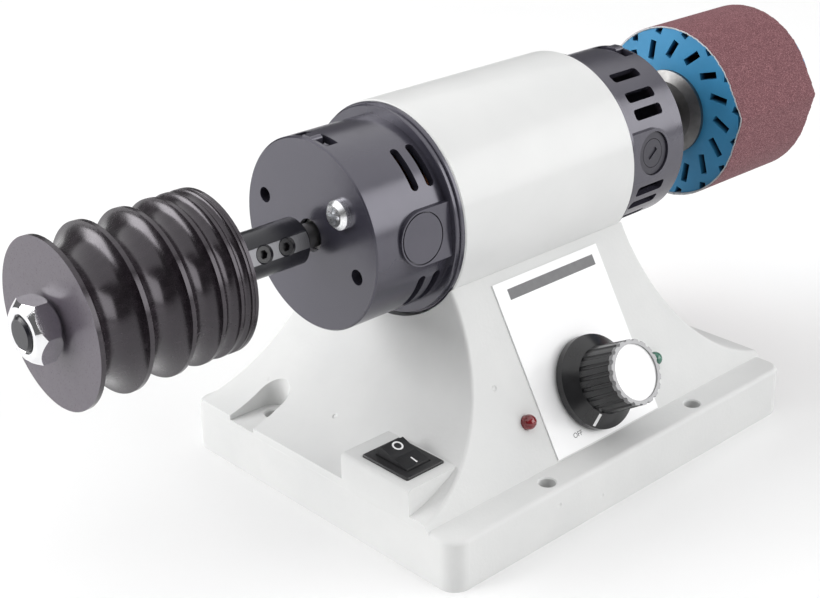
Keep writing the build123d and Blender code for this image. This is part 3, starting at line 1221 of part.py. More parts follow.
def switch_rocker():
    """A rocker with a slightly dished top, its front end pressed down."""
    half = ROCKER_WIDTH / 2
    body = rod(-half, half, ROCKER_RADIUS) & block(-half, half, -REACH, REACH, -ROCKER_DEPTH, REACH)
    for end in (-1, 1):
        above = Pos(0, 0, ROCKER_CROWN) * Rot(end * ROCKER_DIP, 0, 0) * Pos(0, end * REACH / 2, REACH / 2)
        body -= above * Box(REACH, REACH, REACH)
    body += rod(-half - PIN_LENGTH, half + PIN_LENGTH, PIN_RADIUS)
    return SWITCH_PLACE * Pos(0, 0, ROCKER_PIVOT) * Rot(ROCKER_TILT, 0, 0) * body


def switch_terminals():
    blade = Box(TERMINAL_WIDTH, TERMINAL_THICKNESS, TERMINAL_LENGTH)
    drop = -HOUSING_DEPTH - TERMINAL_LENGTH / 2
    return [SWITCH_PLACE * Pos(0, side * TERMINAL_PITCH / 2, drop) * blade for side in (-1, 1)]


def control_board():
    middle = Pos(BOARD_X, BOARD_Y, (BOARD_BOTTOM + BOARD_TOP) / 2)
    board = middle * Box(BOARD_LENGTH, BOARD_WIDTH, BOARD_THICKNESS)
    for x, y in BOARD_HOLES:
        board -= post(x, y, 0, BASE_HEIGHT, BOARD_SCREW / 2 + LOOSE)
    return board


def board_standoffs():
    spacer = extrude(RegularPolygon(STANDOFF_ACROSS_FLATS / math.sqrt(3), 6), STANDOFF_HEIGHT)
    spacer -= post(0, 0, 0, STANDOFF_HEIGHT, BOARD_SCREW / 2 + FIT)
    return [Pos(x, y, COVER_TOP) * spacer for x, y in BOARD_HOLES]


def board_screws():
    length = BOARD_THICKNESS + STANDOFF_HEIGHT - LOOSE
    screw = pan_screw(BOARD_SCREW / 2, length, BOARD_SCREW_HEAD / 2, BOARD_SCREW_HEAD_HEIGHT)
    return [Pos(x, y, BOARD_TOP) * screw for x, y in BOARD_HOLES]


def on_board(spot):
    """A spot on the board's top."""
    return Pos(BOARD_X + spot[0], BOARD_Y + spot[1], BOARD_TOP)


def heat_sink():
    sink = block(-SINK_WIDTH / 2, SINK_WIDTH / 2, 0, SINK_BASE, 0, SINK_HEIGHT)
    pitch = (SINK_WIDTH - SINK_FIN) / (SINK_FINS - 1)
    for index in range(SINK_FINS):
        x = -SINK_WIDTH / 2 + index * pitch
        sink += block(x, x + SINK_FIN, SINK_BASE, SINK_BASE + SINK_FIN_DEPTH, 0, SINK_HEIGHT)
    return on_board(SINK_SPOT) * sink


def triac():
    width, depth, height = TRIAC
    return on_board(SINK_SPOT) * block(-width / 2, width / 2, -depth, 0, 0, height)


def capacitor():
    length, width, height = CAPACITOR
    body = Pos(0, 0, height / 2) * Box(length, width, height)
    return on_board(CAPACITOR_SPOT) * fillet(body.edges().filter_by(Axis.Z), CAPACITOR_CORNER)


def choke():
    """A ring-shaped choke lying on the board."""
    wound = revolve(Plane.XZ * Pos(CHOKE_RADIUS, CHOKE_SECTION) * Circle(CHOKE_SECTION), Axis.Z)
    return on_board(CHOKE_SPOT) * wound


def terminal_strip():
    """A block with three screw wells in its top."""
    length, width, height = STRIP
    strip = Pos(0, 0, height / 2) * Box(length, width, height)
    for step in (-1, 0, 1):
        strip -= post(0, step * STRIP_PITCH, height - STRIP_WELL_DEPTH, height, STRIP_WELL_RADIUS)
    return on_board(STRIP_SPOT) * strip


os.makedirs("parts", exist_ok=True)

save("base_casting", base_casting())
save("bottom_cover", bottom_cover())
save("bottom_cover_screws", *cover_screws())
save("cord_bushing", cord_bushing())

save("motor_sleeve", *on_motor(motor_sleeve()))
save("left_end_cap", *on_motor(left_end_cap()))
save("right_end_cap", *on_motor(right_end_cap()))
save("pad_plugs", *on_motor(*pad_plugs()))
save("long_bolts", *on_motor(*long_bolts()))
save("mount_screws", *on_motor(*mount_screws()))
save("bearing_retainer", *on_motor(bearing_retainer()))
save("retainer_screws", *on_motor(*retainer_screws()))
save("stator_core", *on_motor(stator_core()))
save("field_coils", *on_motor(*field_coils()))
save("brush_holders", *on_motor(*brush_holders()))
save("carbon_brushes", *on_motor(*carbon_brushes()))
save("brush_springs", *on_motor(*brush_springs()))
save("brush_caps", *on_motor(*brush_caps()))

save("motor_shaft", *on_motor(motor_shaft()))
save("armature_core", *on_motor(armature_core()))
save("armature_windings", *on_motor(armature_windings()))
save("commutator", *on_motor(commutator()))
save("cooling_fan", *on_motor(cooling_fan()))
save("left_bearing_outer", *on_motor(mirror(bearing_outer(), Plane.YZ)))
save("left_bearing_inner", *on_motor(mirror(bearing_inner(), Plane.YZ)))
save("right_bearing_outer", *on_motor(bearing_outer()))
save("right_bearing_inner", *on_motor(bearing_inner()))
save("bearing_balls", *on_motor(*[side for ball in bearing_balls() for side in both_sides(ball)]))
save("bearing_cages", *on_motor(*both_sides(bearing_cage())))
save("bearing_shields", *on_motor(*[side for shield in bearing_shields() for side in both_sides(shield)]))

save("left_adapter", *on_motor(left_adapter()))
save("left_set_screws", *on_motor(*[mirror(screw, Plane.YZ) for screw in adapter_screws(LEFT_SET_SCREWS)]))
save("polishing_wheel", *on_motor(polishing_wheel()))
save("wheel_nut", *on_motor(mirror(stud_nut(WHEEL_FACE), Plane.YZ)))
save("right_adapter", *on_motor(right_adapter()))
save("right_set_screws", *on_motor(*adapter_screws(RIGHT_SET_SCREWS)))
save("sanding_drum", *on_motor(sanding_drum()))
save("sanding_belt", *on_motor(sanding_belt()))
save("drum_washer", *on_motor(drum_washer()))
save("drum_nut", *on_motor(stud_nut(DRUM_END + WASHER_THICKNESS)))

save("panel_plate", panel_plate())
save("potentiometer_body", potentiometer_body())
save("potentiometer_nut", potentiometer_nut())
save("potentiometer_shaft", potentiometer_shaft())
save("speed_knob", speed_knob())
save("knob_cap", knob_cap())
save("red_lamp", lamp(-1))
save("green_lamp", lamp(1))

save("switch_housing", switch_housing())
save("switch_rocker", switch_rocker())
save("switch_terminals", *switch_terminals())

save("control_board", control_board())
save("board_standoffs", *board_standoffs())
save("board_screws", *board_screws())
save("heat_sink", heat_sink())
save("triac", triac())
save("capacitor", capacitor())
save("choke", choke())
save("terminal_strip", terminal_strip())
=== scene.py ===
import math

import bpy
import numpy as np
from bpy.props import FloatProperty, FloatVectorProperty, PointerProperty
from mathutils import Matrix, Vector


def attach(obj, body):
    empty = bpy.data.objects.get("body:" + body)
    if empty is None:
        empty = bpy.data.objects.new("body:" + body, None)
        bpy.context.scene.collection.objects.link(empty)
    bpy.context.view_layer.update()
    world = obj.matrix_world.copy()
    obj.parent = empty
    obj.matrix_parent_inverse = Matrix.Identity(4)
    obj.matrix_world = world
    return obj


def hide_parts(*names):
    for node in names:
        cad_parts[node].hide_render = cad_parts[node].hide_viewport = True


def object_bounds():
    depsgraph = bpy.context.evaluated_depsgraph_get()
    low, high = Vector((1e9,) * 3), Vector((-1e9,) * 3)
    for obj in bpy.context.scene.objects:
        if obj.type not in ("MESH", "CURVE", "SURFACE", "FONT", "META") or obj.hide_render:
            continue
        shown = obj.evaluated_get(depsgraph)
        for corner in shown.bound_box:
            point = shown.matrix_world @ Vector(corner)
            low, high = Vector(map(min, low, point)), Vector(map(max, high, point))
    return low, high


bl_info = {
    "name": "Leather Polishing Machine",
    "version": (1, 0, 0),
    "blender": (4, 5, 0),
    "location": "View3D > Sidebar > Polisher",
    "description": "Finishes, printed marks, belt and studio for a bench polishing machine",
    "category": "Object",
}

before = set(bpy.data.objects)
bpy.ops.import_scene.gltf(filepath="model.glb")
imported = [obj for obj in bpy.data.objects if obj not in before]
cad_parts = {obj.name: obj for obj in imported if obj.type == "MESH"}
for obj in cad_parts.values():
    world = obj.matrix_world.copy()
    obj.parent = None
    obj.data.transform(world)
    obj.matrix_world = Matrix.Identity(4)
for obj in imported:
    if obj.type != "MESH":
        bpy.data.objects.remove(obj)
CAD_LOW, CAD_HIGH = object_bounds()
MM = 0.001
FULL_TURN = 2.0 * math.pi

# The spindle runs along X through this point of the Y-Z plane.
SPINDLE_Y = 7.4 * MM
SPINDLE_Z = 91.9 * MM

# The sloped panel: its foot, the direction up the slope and the direction out of it.
PANEL_FOOT = np.array((0.0, -53.9, 17.5)) * MM
PANEL_UP = np.array((0.0, 0.5, math.sqrt(0.75)))
PANEL_OUT = np.array((0.0, -math.sqrt(0.75), 0.5))


# Mesh building


def into_scene(name, data):
    """Put a mesh, a light or a camera into the scene as an object at the origin."""
    made = bpy.data.objects.new(name, data)
    bpy.context.scene.collection.objects.link(made)
    return made


def new_piece(name, points, faces, material, smooth=True):
    """Put an array of points and an array of quads into a new mesh object with one material."""
    mesh = bpy.data.meshes.new(name)
    mesh.from_pydata(points.reshape(-1, 3).tolist(), [], faces.tolist())
    mesh.polygons.foreach_set("use_smooth", np.full(len(mesh.polygons), smooth))
    mesh.materials.append(material)
    mesh.update()
    return into_scene(name, mesh)


def grid_faces(rows, columns, wrap_rows=False, wrap_columns=False):
    """Quads of a grid of rows x columns points: each joins point (i, j) to its right and lower neighbours,
    and the last row or column joins the first where it wraps."""
    i, j = np.meshgrid(
        np.arange(rows if wrap_rows else rows - 1),
        np.arange(columns if wrap_columns else columns - 1),
        indexing="ij",
    )
    i, j = i.ravel(), j.ravel()
    below, right = (i + 1) % rows, (j + 1) % columns
    corners = [i * columns + j, below * columns + j, below * columns + right, i * columns + right]
    return np.stack(corners, axis=1)


def on_panel(across, up, out):
    """Points of the panel's own frame, in metres: foot + across * X + up * slope + out * normal."""
    across, up, out = (value[..., None] for value in np.broadcast_arrays(across, up, out))
    return PANEL_FOOT + (across * np.array((1.0, 0.0, 0.0)) + up * PANEL_UP + out * PANEL_OUT)


def closed_patch(place, lengths, widths, lift, loop=False):
    """A thin closed sheet: place(l, w, t) is sampled on the grid of lengths x widths, once at t = lift for
    the top and once at t = 0 for the bottom, and the section round both is wrapped so that the edges are
    closed too. A loop joins its last row to its first, and any other sheet has a face at each end. The
    enclosed volume grows with the sum of each quad's first corner dotted with the cross product of its
    diagonals, and where that is negative the quads are turned round."""
    section = np.concatenate([widths, widths[::-1]])
    level = np.concatenate([np.full(len(widths), lift), np.zeros(len(widths))])
    points = place(lengths[:, None], section[None, :], level[None, :])
    rows, columns = points.shape[:2]
    faces = grid_faces(rows, columns, wrap_rows=loop, wrap_columns=True)
    if not loop:
        half = len(widths)
        ends = np.stack([np.arange(half - 1), np.arange(1, half)], axis=1)
        first = np.concatenate([ends, columns - 1 - ends[:, ::-1]], axis=1)
        last = (rows - 1) * columns + first[:, ::-1]
        faces = np.concatenate([faces, first, last])
    a, b, c, d = points.reshape(-1, 3)[faces.T]
    if np.sum(a * np.cross(c - a, d - b)) < 0:
        faces = faces[:, ::-1]
    return points, faces


# Node building


def add(tree, kind, sockets=(), **options):
    """Add a node, set its options, and give its sockets values or other nodes' outputs."""
    made = tree.nodes.new(kind)
    for option, value in options.items():
        setattr(made, option, value)
    for key, value in dict(sockets).items():
        if isinstance(value, bpy.types.NodeSocket):
            tree.links.new(value, made.inputs[key])
        else:
            made.inputs[key].default_value = value
    return made


def maths(tree, operation, *values):
    """A Math node's output."""
    return add(tree, "ShaderNodeMath", enumerate(values), operation=operation).outputs[0]


def vector_maths(tree, operation, *vectors):
    """A Vector Math node's outputs."""
    return add(tree, "ShaderNodeVectorMath", enumerate(vectors), operation=operation).outputs


def noise(tree, vector, scale, detail=2.0):
    """A 3D noise value from 0 to 1."""
    sockets = {"Vector": vector, "Scale": scale, "Detail": detail, "Roughness": 0.55}
    return add(tree, "ShaderNodeTexNoise", sockets).outputs[0]


def cells(tree, vector, size):
    """Voronoi cells of about the given size: their outputs."""
    sockets = {"Vector": vector, "Scale": 1.0 / size}
    return add(tree, "ShaderNodeTexVoronoi", sockets, feature="F1").outputs


def red_of(tree, colour):
    """The red share of a colour."""
    return add(tree, "ShaderNodeSeparateColor", {0: colour}).outputs[0]


def spread(tree, value, low, high, out_low=0.0, out_high=1.0):
    """Map a value from low..high to out_low..out_high, held at both ends."""
    sockets = {"Value": value, "From Min": low, "From Max": high, "To Min": out_low, "To Max": out_high}
    return add(tree, "ShaderNodeMapRange", sockets, clamp=True).outputs[0]


def blend_colours(tree, share, first, second):
    """Mix two colours by a share."""
    return add(tree, "ShaderNodeMix", {0: share, 6: first, 7: second}, data_type="RGBA").outputs[2]


def blend_values(tree, share, first, second):
    """Mix two values by a share."""
    return add(tree, "ShaderNodeMix", {0: share, 2: first, 3: second}, data_type="FLOAT").outputs[0]


def new_group(name, inputs, outputs):
    """An empty shader node group with named sockets: {label: (type, default)} and {label: type}."""
    tree = bpy.data.node_groups.new(name, "ShaderNodeTree")
    for label, (kind, default) in inputs.items():
        socket = tree.interface.new_socket(label, in_out="INPUT", socket_type="NodeSocket" + kind)
        if default is not None:
            socket.default_value = default
    for label, kind in outputs.items():
        tree.interface.new_socket(label, in_out="OUTPUT", socket_type="NodeSocket" + kind)
    return tree, tree.nodes.new("NodeGroupInput").outputs, tree.nodes.new("NodeGroupOutput").inputs


def uneven_coat_group():
    """Uneven colour and gloss: broad soft patches shift the colour, finer ones shift the roughness."""
    tree, given, made = new_group(
        "uneven_coat",
        {
            "Vector": ("Vector", None),
            "Base Color": ("Color", (0.5, 0.5, 0.5, 1.0)),
            "Shade Color": ("Color", (0.4, 0.4, 0.4, 1.0)),
            "Patch Size": ("Float", 0.02),
            "Roughness": ("Float", 0.4),
            "Roughness Spread": ("Float", 0.05),
        },
        {"Color": "Color", "Roughness": "Float"},
    )
    scale = maths(tree, "DIVIDE", 1.0, given["Patch Size"])
    patches = spread(tree, noise(tree, given["Vector"], scale, 4.0), 0.3, 0.7)
    finer = noise(tree, given["Vector"], maths(tree, "MULTIPLY", scale, 4.3), 3.0)
    signed = spread(tree, finer, 0.25, 0.75, -1.0, 1.0)
    shift = maths(tree, "MULTIPLY", signed, given["Roughness Spread"])
    tree.links.new(blend_colours(tree, patches, given["Base Color"], given["Shade Color"]), made["Color"])
    tree.links.new(maths(tree, "ADD", given["Roughness"], shift), made["Roughness"])
    return tree


def skin_grain_group():
    """Surface height of a cast or moulded skin: fine grains on a broad gentle waviness."""
    tree, given, made = new_group(
        "skin_grain",
        {
            "Vector": ("Vector", None),
            "Grain Size": ("Float", 0.001),
            "Wave Size": ("Float", 0.012),
            "Wave Share": ("Float", 0.5),
        },
        {"Height": "Float"},
    )
    grains = noise(tree, given["Vector"], maths(tree, "DIVIDE", 1.0, given["Grain Size"]), 3.0)
    waves = noise(tree, given["Vector"], maths(tree, "DIVIDE", 1.0, given["Wave Size"]), 1.0)
    tree.links.new(blend_values(tree, given["Wave Share"], grains, waves), made["Height"])
    return tree


def turning_marks_group():
    """Marks of turning: a line noise of (distance along the axis + distance from it), so that the lines run
    round a barrel and in circles on a face. The axis is X of the vector that comes in."""
    tree, given, made = new_group(
        "turning_marks",
        {"Vector": ("Vector", None), "Pitch": ("Float", 0.0003)},
        {"Height": "Float"},
    )
    x, y, z = add(tree, "ShaderNodeSeparateXYZ", {0: given["Vector"]}).outputs
    square = maths(tree, "ADD", maths(tree, "MULTIPLY", y, y), maths(tree, "MULTIPLY", z, z))
    along = maths(tree, "ADD", x, maths(tree, "SQRT", square))
    place = maths(tree, "DIVIDE", along, given["Pitch"])
    sockets = {"W": place, "Scale": 1.0, "Detail": 2.0}
    lines = add(tree, "ShaderNodeTexNoise", sockets, noise_dimensions="1D")
    tree.links.new(lines.outputs[0], made["Height"])
    return tree


GROUP_MAKERS = {
    "uneven_coat": uneven_coat_group,
    "skin_grain": skin_grain_group,
    "turning_marks": turning_marks_group,
}


def shared(tree, name, sockets):
    """Place one of the shared groups, made at its first use, in a material: its outputs."""
    group = bpy.data.node_groups.get(name) or GROUP_MAKERS[name]()
    return add(tree, "ShaderNodeGroup", sockets, node_tree=group).outputs


# Finishes


def opaque(colour):
    """A colour with alpha 1."""
    return (*colour, 1.0)


def scaled(colour, factor):
    """A colour made lighter or darker."""
    return [factor * value for value in colour]


def new_material(name):
    """A material with a Principled shader: the material, its tree, the shader and Object coordinates."""
    material = bpy.data.materials.new(name)
    material.use_nodes = True
    tree = material.node_tree
    shader = tree.nodes["Principled BSDF"]
    return material, tree, shader, add(tree, "ShaderNodeTexCoord").outputs["Object"]


def from_spindle(tree, vector):
    """Object coordinates measured from the spindle's line."""
    return vector_maths(tree, "SUBTRACT", vector, (0.0, SPINDLE_Y, SPINDLE_Z))[0]


def distance_along(tree, vector, middle):
    """Distance along the spindle from a place on it, to either side."""
    along = add(tree, "ShaderNodeSeparateXYZ", {0: vector}).outputs[0]
    return maths(tree, "ABSOLUTE", maths(tree, "SUBTRACT", along, middle))


def bump(tree, shader, height, depth):
    """Turn a height from 0 to 1 into a relief of the given depth, in metres."""
    relief = add(tree, "ShaderNodeBump", {"Height": height, "Distance": depth, "Strength": 1.0})
    tree.links.new(relief.outputs[0], shader.inputs["Normal"])


# A pit's floor and rim as shares of the pits' spacing, its depth in times the skin's relief, and the red
# share of a cell below which it has no pit and above which it has a full one.
PIT_FLOOR, PIT_RIM = 0.04, 0.09
PIT_DEPTH = 2.0
PIT_NONE, PIT_FULL = 0.45, 0.5


def sparse_pits(tree, vector, spacing):
    """Depth of small round pits: the middle of each cell that lies near the surface, in some of the cells."""
    cell = cells(tree, vector, spacing)
    chance = red_of(tree, cell["Color"])
    depth = spread(tree, cell["Distance"], PIT_FLOOR, PIT_RIM, PIT_DEPTH, 0.0)
    return maths(tree, "MULTIPLY", depth, spread(tree, chance, PIT_NONE, PIT_FULL))


def uneven_skin(name, base, shade, patch, roughness, uneven, constants):
    """A material with an uneven coat. Constants go on the shader's own sockets."""
    material, tree, shader, place = new_material(name)
    coat = shared(
        tree,
        "uneven_coat",
        {
            "Vector": place,
            "Base Color": opaque(base),
            "Shade Color": opaque(shade),
            "Patch Size": patch,
            "Roughness": roughness,
            "Roughness Spread": uneven,
        },
    )
    tree.links.new(coat["Color"], shader.inputs["Base Color"])
    tree.links.new(coat["Roughness"], shader.inputs["Roughness"])
    for socket, value in constants.items():
        shader.inputs[socket.replace("_", " ")].default_value = value
    return material, tree, shader, place


def coated(
    name, base, shade, patch, roughness, uneven=0.05, grain=0.4 * MM, depth=0.01 * MM,
    wave=12 * MM, wave_share=0.3, pits=0.0, **constants,
):
    """A painted, plated or moulded skin: uneven coat over a fine grain, with pits if they have a spacing."""
    material, tree, shader, place = uneven_skin(name, base, shade, patch, roughness, uneven, constants)
    sockets = {"Vector": place, "Grain Size": grain, "Wave Size": wave, "Wave Share": wave_share}
    height = shared(tree, "skin_grain", sockets)["Height"]
    if pits:
        height = maths(tree, "SUBTRACT", height, sparse_pits(tree, place, pits))
    bump(tree, shader, height, depth)
    return material


def turned(name, base, shade, patch, roughness, uneven, pitch, depth, **constants):
    """A surface cut on a lathe about the spindle: uneven coat over fine turning marks."""
    material, tree, shader, place = uneven_skin(name, base, shade, patch, roughness, uneven, constants)
    marks = shared(tree, "turning_marks", {"Vector": from_spindle(tree, place), "Pitch": pitch})
    bump(tree, shader, marks["Height"], depth)
    return material


def dress(material, *nodes):
    """Give CAD nodes a material."""
    for name in nodes:
        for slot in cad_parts[name].material_slots:
            slot.material = material


# Settings


def colour_property(label, description, default):
    """A linear colour that a user may change."""
    return FloatVectorProperty(
        name=label, description=description, default=default, subtype="COLOR", size=3, min=0.0, max=1.0
    )


def length_property(label, description, default):
    """A length in metres that a user may change."""
    return FloatProperty(
        name=label, description=description, default=default, subtype="DISTANCE", unit="LENGTH", precision=5
    )


def angle_property(label, description, default):
    """An angle in radians that a user may change."""
    return FloatProperty(name=label, description=description, default=default, subtype="ANGLE")


def power_property(label, description, default):
    """A lamp's power in watts that a user may change."""
    return FloatProperty(name=label, description=description, default=default, subtype="POWER", min=0.0)


def strength_property(label, description, default):
    """A strength of light that a user may change."""
    return FloatProperty(name=label, description=description, default=default, min=0.0)


class PolisherStage(bpy.types.PropertyGroup):
    """Floor, lights and camera."""

    floor_colour: colour_property("Floor", "Colour of the floor", (0.86, 0.86, 0.86))
    sky: strength_property("Sky", "Strength of the even light from all round", 0.13)
    backdrop: strength_property("Backdrop", "Brightness of what lies beyond the floor", 0.9)
    top_power: power_property("Top light", "Power of the large light overhead", 72.0)
    left_power: power_property("Left light", "Power of the light at the left", 53.0)
    right_power: power_property("Right light", "Power of the light at the front right", 39.0)
    camera_distance: length_property(
        "Camera distance", "From the camera to the point that it looks at", 487.164 * MM
    )


class PolisherCasting(bpy.types.PropertyGroup):
    """Cast base and motor sleeve."""

    paint: colour_property("Paint", "Off-white paint", (0.70, 0.703, 0.697))
    shade: colour_property("Shade", "Paint where it lies thinner", (0.65, 0.655, 0.652))
    grain: length_property("Grain", "Size of the grains of the cast skin", 1.3 * MM)
    depth: length_property("Depth", "Height of the cast skin's relief", 0.16 * MM)
    pits: length_property("Pits", "Spacing of the pits in the cast skin", 12.0 * MM)


class PolisherCaps(bpy.types.PropertyGroup):
    """End caps."""

    black: colour_property("Black", "Satin black enamel", (0.030, 0.0285, 0.040))
    shade: colour_property("Shade", "Enamel where it lies thinner", (0.037, 0.035, 0.048))


class PolisherWheel(bpy.types.PropertyGroup):
    """Polishing wheel."""

    heart: colour_property("Heartwood", "Dark hardwood", (0.0085, 0.006, 0.008))
    streak: colour_property("Streak", "Lighter streaks along the grain", (0.018, 0.0135, 0.0172))
    # Painted sheen: the end faces are painted paler than the wood to stand in for their reflection
    painted_face_sheen: colour_property("End grain", "Paler wood of the end faces", (0.07, 0.06, 0.075))
    middle: length_property("Middle", "Place of the wheel's middle along the spindle", -137.1 * MM)
    half_length: length_property("Half length", "From the wheel's middle to its end faces", 25.7 * MM)
    pore: length_property("Pore", "Length of the pores along the grain", 9.0 * MM)


class PolisherDrum(bpy.types.PropertyGroup):
    """Rubber drum and abrasive belt."""

    rubber: colour_property("Rubber", "Blue rubber", (0.045, 0.28, 0.53))
    # Painted shade: the dark colour painted inside the drum's slots, where shade falls
    slot_shade: colour_property("Dust", "Dust inside the drum's slots", (0.008, 0.011, 0.024))
    drum_middle: length_property("Drum middle", "Place of the drum's middle along the spindle", 126.0 * MM)
    drum_half: length_property("Drum half", "From the drum's middle to its end faces", 23.0 * MM)
    grit: colour_property("Grit", "Abrasive grains", (0.21, 0.078, 0.09))
    grit_shade: colour_property("Grit shade", "Resin between the grains", (0.12, 0.041, 0.049))
    cloth: colour_property("Cloth", "Back and cut edge of the belt", (0.70, 0.73, 0.75))
    grain: length_property("Grain", "Size of the abrasive grains", 0.42 * MM)
    inner_radius: length_property("Inner radius", "Inside radius of the belt on the drum", 31.65 * MM)
    thickness: length_property("Thickness", "Thickness of the belt", 0.7 * MM)
    width: length_property("Width", "Width of the belt", 47.0 * MM)
    fold: length_property("Fold", "From the spindle's line to the fold in the belt", 34.9 * MM)
    fold_angle: angle_property("Fold angle", "Turn of the front fold above the front", math.radians(7.0))
    skew: angle_property("Skew", "Turn of the belt on the drum", math.atan2(2.0, 64.7))
    middle: length_property("Middle", "Place of the belt's middle along the spindle", 125.5 * MM)


class PolisherPanel(bpy.types.PropertyGroup):
    """Label plate, lamps, knob and switch."""

    white: colour_property("White", "Printed white of the label plate", (0.9, 0.9, 0.905))
    ink: colour_property("Ink", "Grey ink of the bar and the word", (0.11, 0.11, 0.115))
    mark: colour_property("Mark", "White of the pointer and the switch's marks", (0.85, 0.85, 0.85))
    plastic: colour_property("Plastic", "Black plastic of knob and switch", (0.012, 0.012, 0.013))
    lamp_red: colour_property("Red lamp", "Red lens", (0.23, 0.009, 0.015))
    lamp_green: colour_property("Green lamp", "Green lens", (0.03, 0.17, 0.11))
    print_lift: length_property("Print", "Thickness of printed marks", 0.04 * MM)


SETTINGS = {
    "polisher_stage": PolisherStage,
    "polisher_casting": PolisherCasting,
    "polisher_caps": PolisherCaps,
    "polisher_wheel": PolisherWheel,
    "polisher_drum": PolisherDrum,
    "polisher_panel": PolisherPanel,
}


# Stage

# The camera's place and focus were fitted to points of the photograph; the focus is in picture widths.
CAMERA_TURN = math.radians(-42.389136)
CAMERA_RISE = math.radians(24.236833)
CAMERA_ROLL = math.radians(-1.257519)
CAMERA_TARGET = Vector((-38.270089, 0.0, 61.804930)) * MM
CAMERA_FOCUS = 1498.966754 / 820.0
SENSOR = 36.0
NEAREST_SEEN = 10 * MM

FLOOR_REACH = 1.6
FLOOR_LINES = 25
MACHINE_MIDDLE = (0.0, 0.0, 0.07)


def place_camera(distance):
    """A camera on a sphere about the target, turned, raised and rolled."""
    turn, rise, roll = CAMERA_TURN, CAMERA_RISE, CAMERA_ROLL
    back = Vector((math.sin(turn) * math.cos(rise), -math.cos(turn) * math.cos(rise), math.sin(rise)))
    right = Vector((math.cos(turn), math.sin(turn), 0.0))
    up = back.cross(right)
    side = math.cos(roll) * right + math.sin(roll) * up
    top = math.cos(roll) * up - math.sin(roll) * right
    data = bpy.data.cameras.new("photo_camera")
    data.sensor_width = SENSOR
    data.lens = CAMERA_FOCUS * SENSOR
    data.clip_start = NEAREST_SEEN
    camera = into_scene("photo_camera", data)
    place = Matrix((side, top, back)).transposed().to_4x4()
    place.translation = CAMERA_TARGET + back * distance
    camera.matrix_world = place
    bpy.context.scene.camera = camera


def soft_light(name, place, aim, width, height, power):
    """A rectangular light that faces a point."""
    data = bpy.data.lights.new(name, "AREA")
    data.shape = "RECTANGLE"
    data.size, data.size_y = width, height
    data.energy = power
    place = Vector(place)
    turn = (Vector(aim) - place).to_track_quat("-Z", "Y").to_matrix().to_4x4()
    turn.translation = place
    into_scene(name, data).matrix_world = turn


def lay_floor(given):
    """A level square grid at the machine's foot."""
    line = np.linspace(-FLOOR_REACH, FLOOR_REACH, FLOOR_LINES)
    x, y = np.meshgrid(line, line, indexing="ij")
    z = np.full_like(x, CAD_LOW.z)
    paint = coated(
        "studio_floor", given.floor_colour, scaled(given.floor_colour, 0.98),
        patch=0.4, roughness=0.6, uneven=0.03, grain=10 * MM, depth=0.02 * MM,
    )
    return new_piece("floor", np.stack([x, y, z], axis=-1), grid_faces(FLOOR_LINES, FLOOR_LINES), paint)


def light_sky(given, scene):
    """Even white light from all round; the camera sees a brighter backdrop in its place."""
    scene.world = bpy.data.worlds.new("studio")
    scene.world.use_nodes = True
    tree = scene.world.node_tree
    sky = tree.nodes["Background"].inputs
    sky["Color"].default_value = (1.0, 1.0, 1.0, 1.0)
    seen = add(tree, "ShaderNodeLightPath").outputs["Is Camera Ray"]
    tree.links.new(spread(tree, seen, 0.0, 1.0, given.sky, given.backdrop), sky["Strength"])


class POLISHER_OT_stage(bpy.types.Operator):
    """Pale floor, soft studio light and the camera"""

    bl_idname = "polisher.stage"
    bl_label = "Stage"

    def execute(self, context):
        given = context.scene.polisher_stage
        floor = lay_floor(given)
        light_sky(given, context.scene)
        soft_light(
            "top_light", place=(0.0, 0.8, 2.0), aim=(0.0, 0.8, 0.0), width=5.0, height=4.0,
            power=given.top_power,
        )
        soft_light(
            "left_light", place=(-1.87, 1.33, 0.94), aim=MACHINE_MIDDLE, width=1.87, height=1.36,
            power=given.left_power,
        )
        soft_light(
            "right_light", place=(1.1, -1.73, 0.92), aim=MACHINE_MIDDLE, width=2.55, height=1.53,
            power=given.right_power,
        )
        place_camera(given.camera_distance)
        context.scene.view_settings.view_transform = "Standard"
        return {"FINISHED"}


# Base and motor housing


class POLISHER_OT_casting(bpy.types.Operator):
    """Off-white paint on the cast base and the motor's sleeve"""

    bl_idname = "polisher.casting"
    bl_label = "Base casting and sleeve"

    def execute(self, context):
        given = context.scene.polisher_casting
        cast = coated(
            "cast_paint", given.paint, given.shade, patch=30 * MM, roughness=0.6, uneven=0.06,
            grain=given.grain, depth=given.depth, wave=14 * MM, wave_share=0.7, pits=given.pits,
            Specular_IOR_Level=0.25,
        )
        dress(cast, "base_casting")
        smooth = coated(
            "sleeve_paint", given.paint, given.shade, patch=45 * MM, roughness=0.34, uneven=0.04,
            grain=2.2 * MM, depth=0.012 * MM, wave=16 * MM, wave_share=0.5, Coat_Weight=0.15,
        )
        dress(smooth, "motor_sleeve")
        return {"FINISHED"}


class POLISHER_OT_end_caps(bpy.types.Operator):
    """Satin black enamel on the end caps and their plugs"""

    bl_idname = "polisher.end_caps"
    bl_label = "End caps"

    def execute(self, context):
        given = context.scene.polisher_caps
        enamel = coated(
            "cap_enamel", given.black, given.shade, patch=18 * MM, roughness=0.24, uneven=0.03,
            grain=0.7 * MM, depth=0.002 * MM, wave=9 * MM, wave_share=0.5,
            IOR=1.8, Specular_Tint=(0.92, 0.9, 1.0, 1.0),
        )
        dress(enamel, "left_end_cap", "right_end_cap", "pad_plugs")
        nylon = coated(
            "black_nylon", given.shade, given.black, patch=8 * MM, roughness=0.45, grain=0.5 * MM
        )
        dress(nylon, "cord_bushing", "brush_caps", "brush_holders", "cooling_fan")
        return {"FINISHED"}


